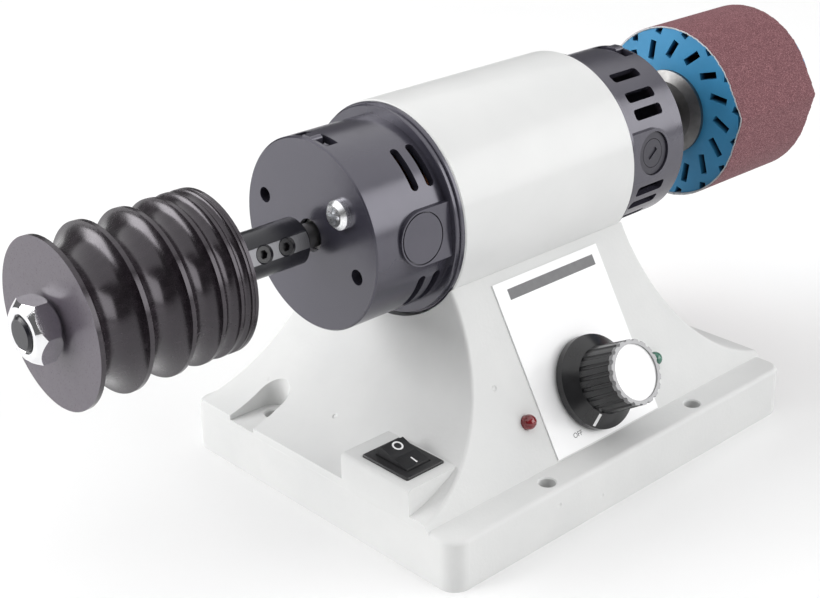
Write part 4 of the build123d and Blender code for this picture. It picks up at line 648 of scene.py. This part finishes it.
class POLISHER_OT_fasteners(bpy.types.Operator):
    """Plated and bare steel screws, bolts and sheet"""

    bl_idname = "polisher.fasteners"
    bl_label = "Screws and sheet"

    def execute(self, context):
        bright = coated(
            "bright_zinc", (0.95, 0.955, 0.96), (0.84, 0.85, 0.87), patch=2 * MM, roughness=0.3,
            uneven=0.08, grain=0.3 * MM, Metallic=1.0,
        )
        dress(bright, "retainer_screws")
        zinc = coated(
            "dull_zinc", (0.6, 0.61, 0.63), (0.5, 0.51, 0.5), patch=5 * MM, roughness=0.32,
            uneven=0.08, grain=0.6 * MM, Metallic=1.0,
        )
        dress(zinc, "bottom_cover", "bottom_cover_screws", "mount_screws", "board_screws", "board_standoffs")
        dark = coated(
            "dark_steel", (0.09, 0.09, 0.095), (0.06, 0.06, 0.06), patch=4 * MM, roughness=0.35,
            uneven=0.08, grain=0.5 * MM, depth=0.008 * MM, Metallic=1.0,
        )
        dress(dark, "long_bolts", "bearing_retainer")
        black = coated(
            "blackened_steel", (0.01, 0.01, 0.012), (0.018, 0.018, 0.02), patch=2 * MM, roughness=0.3,
            grain=0.3 * MM, depth=0.004 * MM,
        )
        dress(black, "left_set_screws", "right_set_screws")
        return {"FINISHED"}


# Spindle's ends

# The flat on the left adapter: its distance from the spindle's line, its turn above the front, and the depth
# below it at which its cut look begins and is full.
ADAPTER_FLAT = 7.1 * MM
ADAPTER_FLAT_ANGLE = math.radians(18.0)
FLAT_BEGINS, FLAT_FULL = 0.06 * MM, 0.02 * MM


def adapter_material():
    """Black oxide, cut bright on the flat that the set screws go through. A point is on the flat where its
    distance from the spindle's line, measured square to the flat, reaches the flat's own distance."""
    black, pale = (0.007, 0.007, 0.011, 1.0), (0.011, 0.011, 0.016, 1.0)
    bright, dull = (0.23, 0.23, 0.24, 1.0), (0.165, 0.165, 0.175, 1.0)
    material, tree, shader, place = new_material("black_oxide")
    local = from_spindle(tree, place)
    square = (0.0, -math.cos(ADAPTER_FLAT_ANGLE), math.sin(ADAPTER_FLAT_ANGLE))
    reach = vector_maths(tree, "DOT_PRODUCT", local, square)["Value"]
    flat = spread(tree, reach, ADAPTER_FLAT - FLAT_BEGINS, ADAPTER_FLAT - FLAT_FULL)
    marks = shared(tree, "turning_marks", {"Vector": local, "Pitch": 0.3 * MM})["Height"]
    oxide = blend_colours(tree, marks, black, pale)
    cut = blend_colours(tree, marks, bright, dull)
    tree.links.new(blend_colours(tree, flat, oxide, cut), shader.inputs["Base Color"])
    tree.links.new(spread(tree, flat, 0.0, 1.0, 0.26, 0.42), shader.inputs["Roughness"])
    tree.links.new(flat, shader.inputs["Metallic"])
    bump(tree, shader, marks, 0.002 * MM)
    return material


class POLISHER_OT_adapters(bpy.types.Operator):
    """Turned adapters, nuts and washer on the spindle's ends"""

    bl_idname = "polisher.adapters"
    bl_label = "Adapters and nuts"

    def execute(self, context):
        dress(adapter_material(), "left_adapter")
        ground = turned(
            "ground_steel", (0.25, 0.245, 0.24), (0.18, 0.177, 0.177), patch=4 * MM, roughness=0.4,
            uneven=0.05, pitch=0.35 * MM, depth=0.003 * MM, Metallic=1.0,
        )
        dress(ground, "right_adapter", "motor_shaft", "drum_washer")
        plated = coated(
            "plated_nut", (0.86, 0.86, 0.87), (0.8, 0.8, 0.82), patch=3 * MM, roughness=0.1,
            uneven=0.03, grain=0.8 * MM, depth=0.002 * MM, Metallic=1.0,
        )
        dress(plated, "wheel_nut", "drum_nut")
        return {"FINISHED"}


# The wheel's wood: how its noise is drawn out along the spindle, the streaks in a metre across the grain, a
# pore's breadth as a share of its length, and the depth below an end face where its painted sheen begins and
# is full.
GRAIN_DRAW = (0.09, 1.0, 1.0)
STREAKS_PER_METRE = 420.0
PORE_BREADTH = 0.06
FACE_BEGINS, FACE_FULL = 0.12 * MM, 0.04 * MM


def wheel_material(given):
    """Dark hardwood: streaks and pores run along the spindle, and the end faces, at the wheel's half length
    from its middle, are painted paler for their sheen, with pores for specks. Pores are dull and sunk below
    the turning marks."""
    material, tree, shader, place = new_material("dark_hardwood")
    local = from_spindle(tree, place)
    drawn = add(tree, "ShaderNodeMapping", {"Vector": local, "Scale": GRAIN_DRAW}).outputs[0]
    streaks = spread(tree, noise(tree, drawn, STREAKS_PER_METRE, 4.0), 0.42, 0.68)
    pores = spread(tree, noise(tree, drawn, 1.0 / (given.pore * PORE_BREADTH), 2.0), 0.6, 0.7)
    reach = distance_along(tree, local, given.middle)
    face = spread(tree, reach, given.half_length - FACE_BEGINS, given.half_length - FACE_FULL)
    side = blend_colours(tree, streaks, opaque(given.heart), opaque(given.streak))
    # Painted sheen: the end faces take a paler colour that stands in for their reflection
    speckled = blend_colours(tree, pores, opaque(given.painted_face_sheen), opaque(given.streak))
    tree.links.new(blend_colours(tree, face, side, speckled), shader.inputs["Base Color"])
    polish = spread(tree, streaks, 0.0, 1.0, 0.23, 0.28)
    gloss = maths(tree, "ADD", polish, maths(tree, "MULTIPLY", pores, 0.06))
    duller = maths(tree, "MULTIPLY", face, 0.12)
    tree.links.new(maths(tree, "ADD", gloss, duller), shader.inputs["Roughness"])
    marks = shared(tree, "turning_marks", {"Vector": local, "Pitch": 0.45 * MM})["Height"]
    bump(tree, shader, maths(tree, "SUBTRACT", marks, maths(tree, "MULTIPLY", pores, 0.6)), 0.0015 * MM)
    shader.inputs["IOR"].default_value = 1.55
    shader.inputs["Coat Weight"].default_value = 0.2
    shader.inputs["Coat Roughness"].default_value = 0.25
    shader.inputs["Specular Tint"].default_value = (0.98, 0.91, 1.0, 1.0)
    return material


class POLISHER_OT_polishing_wheel(bpy.types.Operator):
    """Dark turned hardwood on the grooved wheel"""

    bl_idname = "polisher.polishing_wheel"
    bl_label = "Polishing wheel"

    def execute(self, context):
        dress(wheel_material(context.scene.polisher_wheel), "polishing_wheel")
        return {"FINISHED"}


# Depth below the drum's end face at which the painted shade in the slots is full and begins.
SLOT_SHADE_FULL, SLOT_SHADE_BEGINS = 3.0 * MM, 0.15 * MM


def drum_material(given):
    """Blue rubber with painted shade inside the slots: the shade grows with the depth below the nearer end
    face, which is the drum's half length less the distance from its middle along the spindle."""
    material = coated(
        "blue_rubber", given.rubber, scaled(given.rubber, 0.86), patch=14 * MM, roughness=0.5, uneven=0.06,
        grain=0.6 * MM, depth=0.015 * MM, wave=6 * MM,
    )
    tree = material.node_tree
    colour = tree.nodes["Principled BSDF"].inputs["Base Color"]
    rubber = colour.links[0].from_socket
    place = add(tree, "ShaderNodeTexCoord").outputs["Object"]
    reach = distance_along(tree, place, given.drum_middle)
    # Painted shade: the rubber darkens with the depth into the slots, where shade falls
    slot_shade_share = spread(tree, reach, given.drum_half - SLOT_SHADE_FULL, given.drum_half - SLOT_SHADE_BEGINS, 1.0, 0.0)
    tree.links.new(blend_colours(tree, slot_shade_share, rubber, opaque(given.slot_shade)), colour)
    return material


class POLISHER_OT_sanding_drum(bpy.types.Operator):
    """Blue rubber on the slotted drum"""

    bl_idname = "polisher.sanding_drum"
    bl_label = "Sanding drum"

    def execute(self, context):
        dress(drum_material(context.scene.polisher_drum), "sanding_drum")
        return {"FINISHED"}


# The belt's grid: lines round it and across each side, the flat part of its half width, and the steps of an
# edge. The grit reaches down to a level through the belt.
BELT_TURNS = 720
BELT_LINES = 41
BELT_FLAT = 0.994
EDGE_STEPS = 7
GRIT_LEVEL = 0.93

# How far a fold is rounded, what the ragged edges take off the half width, and the weave's scale.
FOLD_ROUNDING = math.radians(1.1)
EDGE_TRIM = 0.28 * MM
WEAVE_SCALE = 620.0

# Each wave of the belt's ragged edge: its depth, its number round the belt and its shift.
RAGGED_EDGE = ((0.12 * MM, 37, 1.0), (0.09 * MM, 83, 0.0), (0.07 * MM, 151, 2.0))


def fold_reach(given):
    """Angle from the fold to where the belt is round: its cosine is the outer radius over the fold's."""
    return math.acos((given.inner_radius + given.thickness) / given.fold)


def belt_length(given):
    """Length of the belt's middle layer, of radius m: two arcs of pi - 2 f and four straight runs of
    m * tan(f), where f is the angle that each fold reaches, so 2 m (pi - 2 f + 2 tan f)."""
    reach = fold_reach(given)
    middle = given.inner_radius + given.thickness / 2
    return 2.0 * middle * (math.pi - 2.0 * reach + 2.0 * math.tan(reach))


def belt_section():
    """Across the belt, from -1 to 1, and through it, from 0 inside to 1 outside, with softened edges."""
    flat = np.linspace(-BELT_FLAT, BELT_FLAT, BELT_LINES)
    corner = np.linspace(0.0, math.pi, EDGE_STEPS)[1:-1]
    edge = BELT_FLAT + (1.0 - BELT_FLAT) * np.sin(corner)
    step = 0.5 * np.cos(corner)
    across = np.concatenate([flat, edge, flat[::-1], -edge])
    level = np.concatenate([np.ones(BELT_LINES), 0.5 + step, np.zeros(BELT_LINES), 0.5 - step])
    return across, level


def belt_points(given, angle, across, level):
    """A loop round the spindle, drawn out to a fold at two opposite sides.
    The radius at an angle a from the nearer fold is R / cos(f - a) up to the fold's reach f, and R beyond it;
    a is taken as sqrt(a * a + e * e), which rounds the fold. The section runs across the outside, back across
    the inside and is closed. The loop is cut square, with sine waves for its ragged edges, and then turned a
    little on the drum: x grows by y * tan(skew)."""
    nearer = np.abs((angle + math.pi / 2) % math.pi - math.pi / 2)
    rounded = np.sqrt(nearer**2 + FOLD_ROUNDING**2)
    swell = 1.0 / np.cos(np.clip(fold_reach(given) - rounded, 0.0, None))
    radius = (given.inner_radius + given.thickness * level)[None, :] * swell[:, None]
    heading = math.pi - given.fold_angle + angle
    y = radius * np.cos(heading)[:, None]
    z = radius * np.sin(heading)[:, None]
    ragged = sum(depth * np.sin(waves * angle + shift) for depth, waves, shift in RAGGED_EDGE)
    half = given.width / 2 / math.cos(given.skew) - EDGE_TRIM
    across = across[None, :]
    x = across * (half + ragged[:, None] * np.abs(across) ** 8) + y * math.tan(given.skew)
    return np.stack([x + given.middle, y + SPINDLE_Y, z + SPINDLE_Z], axis=-1)


def belt_material(given):
    """Grains of grit in resin outside, woven cloth inside and at the cut edges. The attribute 'side' is 1 on
    the grit and 0 on the cloth, and the UV map runs along and across the belt in metres."""
    material, tree, shader, place = new_material("abrasive_belt")
    flat = add(tree, "ShaderNodeUVMap", uv_map="along_and_across").outputs[0]
    side = add(tree, "ShaderNodeAttribute", attribute_name="side").outputs["Fac"]
    cell = cells(tree, place, given.grain)
    grains = spread(tree, cell["Distance"], 0.15, 0.75, 1.0, 0.0)
    tint = spread(tree, red_of(tree, cell["Color"]), 0.25, 1.0)
    pale = [min(1.0, 1.7 * value + 0.05) for value in given.grit]
    stone = blend_colours(tree, tint, opaque(given.grit), opaque(pale))
    rough_patch = spread(tree, noise(tree, place, 260.0, 3.0), 0.35, 0.65, 0.75, 1.0)
    shown = maths(tree, "MULTIPLY", grains, rough_patch)
    grit = blend_colours(tree, shown, opaque(given.grit_shade), stone)
    sockets = {"Vector": flat, "Scale": WEAVE_SCALE, "Distortion": 0.6}
    warp = add(tree, "ShaderNodeTexWave", sockets, bands_direction="X").outputs["Fac"]
    weft = add(tree, "ShaderNodeTexWave", sockets, bands_direction="Y").outputs["Fac"]
    weave = maths(tree, "MULTIPLY", warp, weft)
    cloth = blend_colours(tree, weave, opaque(scaled(given.cloth, 0.72)), opaque(given.cloth))
    tree.links.new(blend_colours(tree, side, cloth, grit), shader.inputs["Base Color"])
    tree.links.new(spread(tree, shown, 0.0, 1.0, 0.85, 0.6), shader.inputs["Roughness"])
    bump(tree, shader, blend_values(tree, side, weave, grains), 0.08 * MM)
    return material


class POLISHER_OT_sanding_belt(bpy.types.Operator):
    """Abrasive cloth belt on the drum"""

    bl_idname = "polisher.sanding_belt"
    bl_label = "Sanding belt"

    def execute(self, context):
        given = context.scene.polisher_drum
        angle = np.linspace(0.0, FULL_TURN, BELT_TURNS, endpoint=False)
        across, level = belt_section()
        points = belt_points(given, angle, across, level)
        columns = len(across)
        faces = grid_faces(BELT_TURNS, columns, wrap_rows=True, wrap_columns=True)
        belt = new_piece("abrasive_belt", points, faces, belt_material(given))
        mesh = belt.data
        side = np.broadcast_to(level > GRIT_LEVEL, (BELT_TURNS, columns)).astype(np.float32)
        mesh.attributes.new("side", "FLOAT", "POINT").data.foreach_set("value", side.ravel())

        # Along the belt the map runs from 0 to its length, also in the faces that close the loop.
        length = belt_length(given)
        corner = np.empty(len(mesh.loops), np.int32)
        mesh.loops.foreach_get("vertex_index", corner)
        row = corner // columns
        closing = np.repeat(faces[:, 0] // columns == BELT_TURNS - 1, 4) & (row == 0)
        along = np.where(closing, 1.0, angle[row] / FULL_TURN) * length
        place = np.stack([along, across[corner % columns] * given.width / 2], axis=1).astype(np.float32)
        mesh.uv_layers.new(name="along_and_across").uv.foreach_set("vector", place.ravel())

        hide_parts("sanding_belt")
        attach(belt, "spindle")
        return {"FINISHED"}


# Panel

# The plate's face above the panel, the bar's edges and the word's middle and size, in the panel's own frame.
PLATE_FACE = 0.5 * MM
BAR_LEFT, BAR_RIGHT = -19.7 * MM, 21.5 * MM
BAR_BOTTOM, BAR_TOP = 53.6 * MM, 57.2 * MM
WORD_ACROSS, WORD_UP = -13.4 * MM, 5.2 * MM
WORD_SIZE = 2.4 * MM


def bar_place(length, width, level):
    """Points on the plate's face: length across the panel, width up the slope and level above the plate."""
    return on_panel(length, width, level + PLATE_FACE)


def print_word(text, lift, ink):
    """A word on the plate: its flat letters are made a mesh, whose points then move to the panel's frame."""
    letters = bpy.data.curves.new("off_word", "FONT")
    letters.body = text
    letters.align_x = letters.align_y = "CENTER"
    letters.size = WORD_SIZE
    letters.extrude = lift / 2
    flat = into_scene("off_word_flat", letters)
    mesh = bpy.data.meshes.new_from_object(flat)
    bpy.data.objects.remove(flat)
    drawn = np.empty(3 * len(mesh.vertices), np.float32)
    mesh.vertices.foreach_get("co", drawn)
    across, up, out = drawn.reshape(-1, 3).T
    moved = on_panel(across + WORD_ACROSS, up + WORD_UP, out + PLATE_FACE + lift / 2)
    mesh.vertices.foreach_set("co", moved.astype(np.float32).ravel())
    mesh.update()
    mesh.materials.clear()
    mesh.materials.append(ink)
    return into_scene("off_word", mesh)


class POLISHER_OT_label_plate(bpy.types.Operator):
    """White label plate with a plain grey bar and the word at the knob's stop"""

    bl_idname = "polisher.label_plate"
    bl_label = "Label plate"

    def execute(self, context):
        given = context.scene.polisher_panel
        plate = coated(
            "printed_plate", given.white, scaled(given.white, 0.96), patch=20 * MM, roughness=0.32,
            uneven=0.04, depth=0.003 * MM, Coat_Weight=0.1,
        )
        dress(plate, "panel_plate")
        ink = coated(
            "grey_ink", given.ink, scaled(given.ink, 1.25), patch=3 * MM, roughness=0.4,
            grain=0.3 * MM, depth=0.004 * MM,
        )
        lengths = np.linspace(BAR_LEFT, BAR_RIGHT, 43)
        widths = np.linspace(BAR_BOTTOM, BAR_TOP, 5)
        points, faces = closed_patch(bar_place, lengths, widths, given.print_lift)
        bar = new_piece("plate_bar", points, faces, ink, smooth=False)
        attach(bar, "frame")
        word = print_word("OFF", given.print_lift, ink)
        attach(word, "frame")
        return {"FINISHED"}


class POLISHER_OT_lamps(bpy.types.Operator):
    """Red and green lenses of the two lamps"""

    bl_idname = "polisher.lamps"
    bl_label = "Lamps"

    def execute(self, context):
        given = context.scene.polisher_panel
        for name, node, colour in (
            ("red_lens", "red_lamp", given.lamp_red),
            ("green_lens", "green_lamp", given.lamp_green),
        ):
            lens = coated(
                name, colour, scaled(colour, 0.55), patch=2 * MM, roughness=0.12, uneven=0.04,
                grain=0.8 * MM, depth=0.004 * MM, Coat_Weight=0.6, Coat_Roughness=0.05,
            )
            dress(lens, node)
        return {"FINISHED"}


# The knob: its axis' place up the panel's slope, the radius of its bright face and that face's soft edge, the
# radii and heights of the skirt's cone, and the pointer that lies on it.
KNOB_RISE = 18.3 * MM
KNOB_FACE = 9.2 * MM
KNOB_FACE_EDGE = 0.1 * MM
SKIRT_ROOT, SKIRT_RIM = 11.3 * MM, 15.8 * MM
SKIRT_SHOULDER, SKIRT_FOOT = 7.4 * MM, 4.1 * MM
POINTER_START, POINTER_END = 11.75 * MM, 15.4 * MM
POINTER_HALF = 0.55 * MM
POINTER_TURN = math.radians(-143.5)


def knob_place(length, width, level):
    """The pointer on the knob's skirt: at a distance from the knob's axis, on the cone that falls from the
    barrel's root to the rim, at the pointer's angle, moved sideways by the width and out by the level."""
    fall = (SKIRT_SHOULDER - SKIRT_FOOT) / (SKIRT_RIM - SKIRT_ROOT)
    height = SKIRT_SHOULDER - (length - SKIRT_ROOT) * fall + level * math.hypot(1.0, fall)
    across = length * math.sin(POINTER_TURN) + width * math.cos(POINTER_TURN)
    up = length * math.cos(POINTER_TURN) - width * math.sin(POINTER_TURN)
    return on_panel(across, KNOB_RISE + up, height)


def knob_end_material():
    """Spun metal: a pale face and a darker notched ring round it. The distance from the knob's axis is the
    length of (place - a point of the axis) x (direction of the axis)."""
    material, tree, shader, place = new_material("spun_aluminium")
    offset = vector_maths(tree, "SUBTRACT", place, on_panel(0.0, KNOB_RISE, 0.0))[0]
    swept = vector_maths(tree, "CROSS_PRODUCT", offset, PANEL_OUT)[0]
    distance = vector_maths(tree, "LENGTH", swept)["Value"]
    height = vector_maths(tree, "DOT_PRODUCT", offset, PANEL_OUT)["Value"]
    along = add(tree, "ShaderNodeCombineXYZ", {0: height, 1: distance}).outputs[0]
    marks = shared(tree, "turning_marks", {"Vector": along, "Pitch": 0.25 * MM})["Height"]
    face = spread(tree, distance, KNOB_FACE - KNOB_FACE_EDGE, KNOB_FACE, 1.0, 0.0)
    ring = blend_colours(tree, marks, (0.22, 0.22, 0.225, 1.0), (0.3, 0.3, 0.305, 1.0))
    pale = blend_colours(tree, marks, (0.93, 0.93, 0.93, 1.0), (0.97, 0.97, 0.97, 1.0))
    tree.links.new(blend_colours(tree, face, ring, pale), shader.inputs["Base Color"])
    tree.links.new(spread(tree, face, 0.0, 1.0, 0.34, 0.45), shader.inputs["Roughness"])
    tree.links.new(spread(tree, face, 0.0, 1.0, 0.5, 0.05), shader.inputs["Metallic"])
    bump(tree, shader, marks, 0.002 * MM)
    return material


def white_ink(given):
    """White ink of the pointer and the switch's marks, made at its first use."""
    return bpy.data.materials.get("white_ink") or coated(
        "white_ink", given.mark, scaled(given.mark, 0.93), patch=1.5 * MM, roughness=0.4,
        grain=0.3 * MM, depth=0.004 * MM,
    )


class POLISHER_OT_speed_knob(bpy.types.Operator):
    """Black fluted knob with a white pointer and a bright cap"""

    bl_idname = "polisher.speed_knob"
    bl_label = "Speed knob"

    def execute(self, context):
        given = context.scene.polisher_panel
        plastic = coated(
            "knob_plastic", given.plastic, scaled(given.plastic, 1.6), patch=6 * MM, roughness=0.22,
            uneven=0.04, grain=0.5 * MM, depth=0.003 * MM, wave=4 * MM,
        )
        dress(plastic, "speed_knob")
        dress(knob_end_material(), "knob_cap", "potentiometer_shaft")
        lengths = np.linspace(POINTER_START, POINTER_END, 9)
        widths = np.linspace(-POINTER_HALF, POINTER_HALF, 5)
        points, faces = closed_patch(knob_place, lengths, widths, given.print_lift)
        pointer = new_piece("knob_pointer", points, faces, white_ink(given), smooth=False)
        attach(pointer, "knob")
        return {"FINISHED"}


# The rocker's pin, its tilt at rest, the rise of each half of its top and the top's height above the pin.
ROCKER_PIVOT = np.array((-71.4, -31.5, 27.7)) * MM
ROCKER_REST = math.radians(14.5)
ROCKER_DISH = math.radians(4.0)
ROCKER_CROWN = 3.2 * MM

# The marks on it: their place across it, the ring's place along it and its size, and the line's ends.
MARK_ACROSS = 0.5 * MM
RING_ALONG = 3.8 * MM
RING_RADIUS, RING_HALF = 1.52 * MM, 0.3 * MM
RING_TURNS = 48
LINE_START, LINE_END = -5.1 * MM, -2.3 * MM
LINE_HALF = 0.26 * MM


def on_rocker(across, along, level):
    """Points on the rocker's top: along its length from the pin, where each half rises outwards by the dish,
    lifted by the level and turned about the pin by the rocker's tilt."""
    across, along, level = np.broadcast_arrays(across, along, level)
    height = ROCKER_CROWN + np.abs(along) * math.tan(ROCKER_DISH) + level
    y = along * math.cos(ROCKER_REST) - height * math.sin(ROCKER_REST)
    z = along * math.sin(ROCKER_REST) + height * math.cos(ROCKER_REST)
    return ROCKER_PIVOT + np.stack([across, y, z], axis=-1)


def ring_place(turn, width, level):
    """The ring on the rocker: a circle about its middle, of the ring's radius + width."""
    reach = RING_RADIUS + width
    return on_rocker(MARK_ACROSS + reach * np.cos(turn), RING_ALONG + reach * np.sin(turn), level)


def line_place(length, width, level):
    """The line on the rocker: length along the rocker and width across it."""
    return on_rocker(MARK_ACROSS + width, length, level)


class POLISHER_OT_rocker_switch(bpy.types.Operator):
    """Black rocker switch with a white ring and a white line"""

    bl_idname = "polisher.rocker_switch"
    bl_label = "Rocker switch"

    def execute(self, context):
        given = context.scene.polisher_panel
        plastic = coated(
            "switch_plastic", given.plastic, scaled(given.plastic, 1.7), patch=5 * MM, roughness=0.36,
            grain=0.35 * MM, depth=0.008 * MM,
        )
        dress(plastic, "switch_rocker", "switch_housing")
        turns = np.linspace(0.0, FULL_TURN, RING_TURNS, endpoint=False)
        widths = np.linspace(-RING_HALF, RING_HALF, 3)
        points, faces = closed_patch(ring_place, turns, widths, given.print_lift, loop=True)
        ring = new_piece("rocker_ring", points, faces, white_ink(given), smooth=False)
        lengths = np.linspace(LINE_START, LINE_END, 5)
        widths = np.linspace(-LINE_HALF, LINE_HALF, 3)
        points, faces = closed_patch(line_place, lengths, widths, given.print_lift)
        line = new_piece("rocker_line", points, faces, white_ink(given), smooth=False)
        for mark in (ring, line):
            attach(mark, "rocker")
        return {"FINISHED"}


# Inside the housing


class POLISHER_OT_motor_insides(bpy.types.Operator):
    """Iron, copper, carbon and brass inside the motor"""

    bl_idname = "polisher.motor_insides"
    bl_label = "Inside of the motor"

    def execute(self, context):
        iron = turned(
            "laminations", (0.3, 0.31, 0.33), (0.2, 0.2, 0.21), patch=5 * MM, roughness=0.4,
            uneven=0.08, pitch=0.5 * MM, depth=0.02 * MM, Metallic=1.0,
        )
        dress(iron, "stator_core", "armature_core")
        copper = coated(
            "enamelled_copper", (0.42, 0.15, 0.05), (0.3, 0.09, 0.03), patch=3 * MM, roughness=0.3,
            uneven=0.08, grain=0.5 * MM, depth=0.04 * MM, Metallic=0.8,
        )
        dress(copper, "field_coils", "armature_windings", "choke")
        bars = turned(
            "commutator_copper", (0.62, 0.3, 0.16), (0.5, 0.22, 0.11), patch=2 * MM, roughness=0.28,
            uneven=0.06, pitch=0.3 * MM, depth=0.005 * MM, Metallic=1.0,
        )
        dress(bars, "commutator")
        brass = coated(
            "brass", (0.6, 0.43, 0.16), (0.5, 0.34, 0.12), patch=3 * MM, roughness=0.3,
            uneven=0.06, depth=0.006 * MM, Metallic=1.0,
        )
        dress(brass, "potentiometer_nut", "switch_terminals")
        carbon = coated(
            "carbon", (0.02, 0.02, 0.022), (0.035, 0.035, 0.036), patch=2 * MM, roughness=0.55,
            uneven=0.08, grain=0.3 * MM, depth=0.02 * MM,
        )
        dress(carbon, "carbon_brushes")
        spring = coated(
            "spring_steel", (0.45, 0.45, 0.47), (0.35, 0.35, 0.37), patch=2 * MM, roughness=0.3,
            uneven=0.06, grain=0.3 * MM, Metallic=1.0,
        )
        dress(spring, "brush_springs")
        return {"FINISHED"}


class POLISHER_OT_bearings(bpy.types.Operator):
    """Polished steel of the two ball bearings"""

    bl_idname = "polisher.bearings"
    bl_label = "Bearings"

    def execute(self, context):
        steel = turned(
            "bearing_steel", (0.62, 0.63, 0.65), (0.54, 0.55, 0.57), patch=4 * MM, roughness=0.18,
            uneven=0.05, pitch=0.3 * MM, depth=0.003 * MM, Metallic=1.0,
        )
        dress(
            steel, "left_bearing_outer", "right_bearing_outer", "left_bearing_inner", "right_bearing_inner",
            "bearing_balls", "bearing_cages", "bearing_shields",
        )
        return {"FINISHED"}


class POLISHER_OT_control_board(bpy.types.Operator):
    """Speed control board and its parts"""

    bl_idname = "polisher.control_board"
    bl_label = "Control board"

    def execute(self, context):
        resist = coated(
            "solder_resist", (0.02, 0.16, 0.06), (0.015, 0.12, 0.045), patch=6 * MM, roughness=0.3
        )
        dress(resist, "control_board")
        strip = coated(
            "strip_plastic", (0.05, 0.27, 0.1), (0.04, 0.22, 0.08), patch=4 * MM, roughness=0.42
        )
        dress(strip, "terminal_strip")
        sink = coated(
            "sink_aluminium", (0.55, 0.56, 0.58), (0.47, 0.48, 0.5), patch=5 * MM, roughness=0.34,
            uneven=0.06, Metallic=1.0,
        )
        dress(sink, "heat_sink")
        epoxy = coated(
            "black_epoxy", (0.02, 0.02, 0.02), (0.03, 0.03, 0.031), patch=3 * MM, roughness=0.45,
            uneven=0.06, grain=0.3 * MM,
        )
        dress(epoxy, "triac", "potentiometer_body")
        film = coated(
            "capacitor_case", (0.55, 0.34, 0.05), (0.47, 0.28, 0.04), patch=4 * MM, roughness=0.38,
            depth=0.008 * MM,
        )
        dress(film, "capacitor")
        return {"FINISHED"}


# Add-on

PIECES = (
    POLISHER_OT_stage,
    POLISHER_OT_casting,
    POLISHER_OT_end_caps,
    POLISHER_OT_fasteners,
    POLISHER_OT_adapters,
    POLISHER_OT_polishing_wheel,
    POLISHER_OT_sanding_drum,
    POLISHER_OT_sanding_belt,
    POLISHER_OT_label_plate,
    POLISHER_OT_lamps,
    POLISHER_OT_speed_knob,
    POLISHER_OT_rocker_switch,
    POLISHER_OT_motor_insides,
    POLISHER_OT_bearings,
    POLISHER_OT_control_board,
)


class POLISHER_PT_sidebar(bpy.types.Panel):
    """Lists the settings and the pieces of the machine"""

    bl_idname = "POLISHER_PT_sidebar"
    bl_label = "Polishing machine"
    bl_space_type = "VIEW_3D"
    bl_region_type = "UI"
    bl_category = "Polisher"

    def draw(self, context):
        for settings in SETTINGS:
            box = self.layout.box()
            group = getattr(context.scene, settings)
            for prop in group.bl_rna.properties:
                if not prop.is_readonly and prop.identifier != "name":
                    box.prop(group, prop.identifier)
        for piece in PIECES:
            self.layout.operator(piece.bl_idname)


CLASSES = (*SETTINGS.values(), *PIECES, POLISHER_PT_sidebar)


def register():
    """Register the classes and hang each group of settings on the scene."""
    for cls in CLASSES:
        bpy.utils.register_class(cls)
    for name, settings in SETTINGS.items():
        setattr(bpy.types.Scene, name, PointerProperty(type=settings))


def unregister():
    """Undo what register did, in the opposite order."""
    for name in SETTINGS:
        delattr(bpy.types.Scene, name)
    for cls in reversed(CLASSES):
        bpy.utils.unregister_class(cls)


def main():
    """Register the classes and make every piece in order."""
    register()
    for piece in PIECES:
        name = piece.bl_idname.split(".")[1]
        getattr(bpy.ops.polisher, name)()


if __name__ == "__main__":
    main()
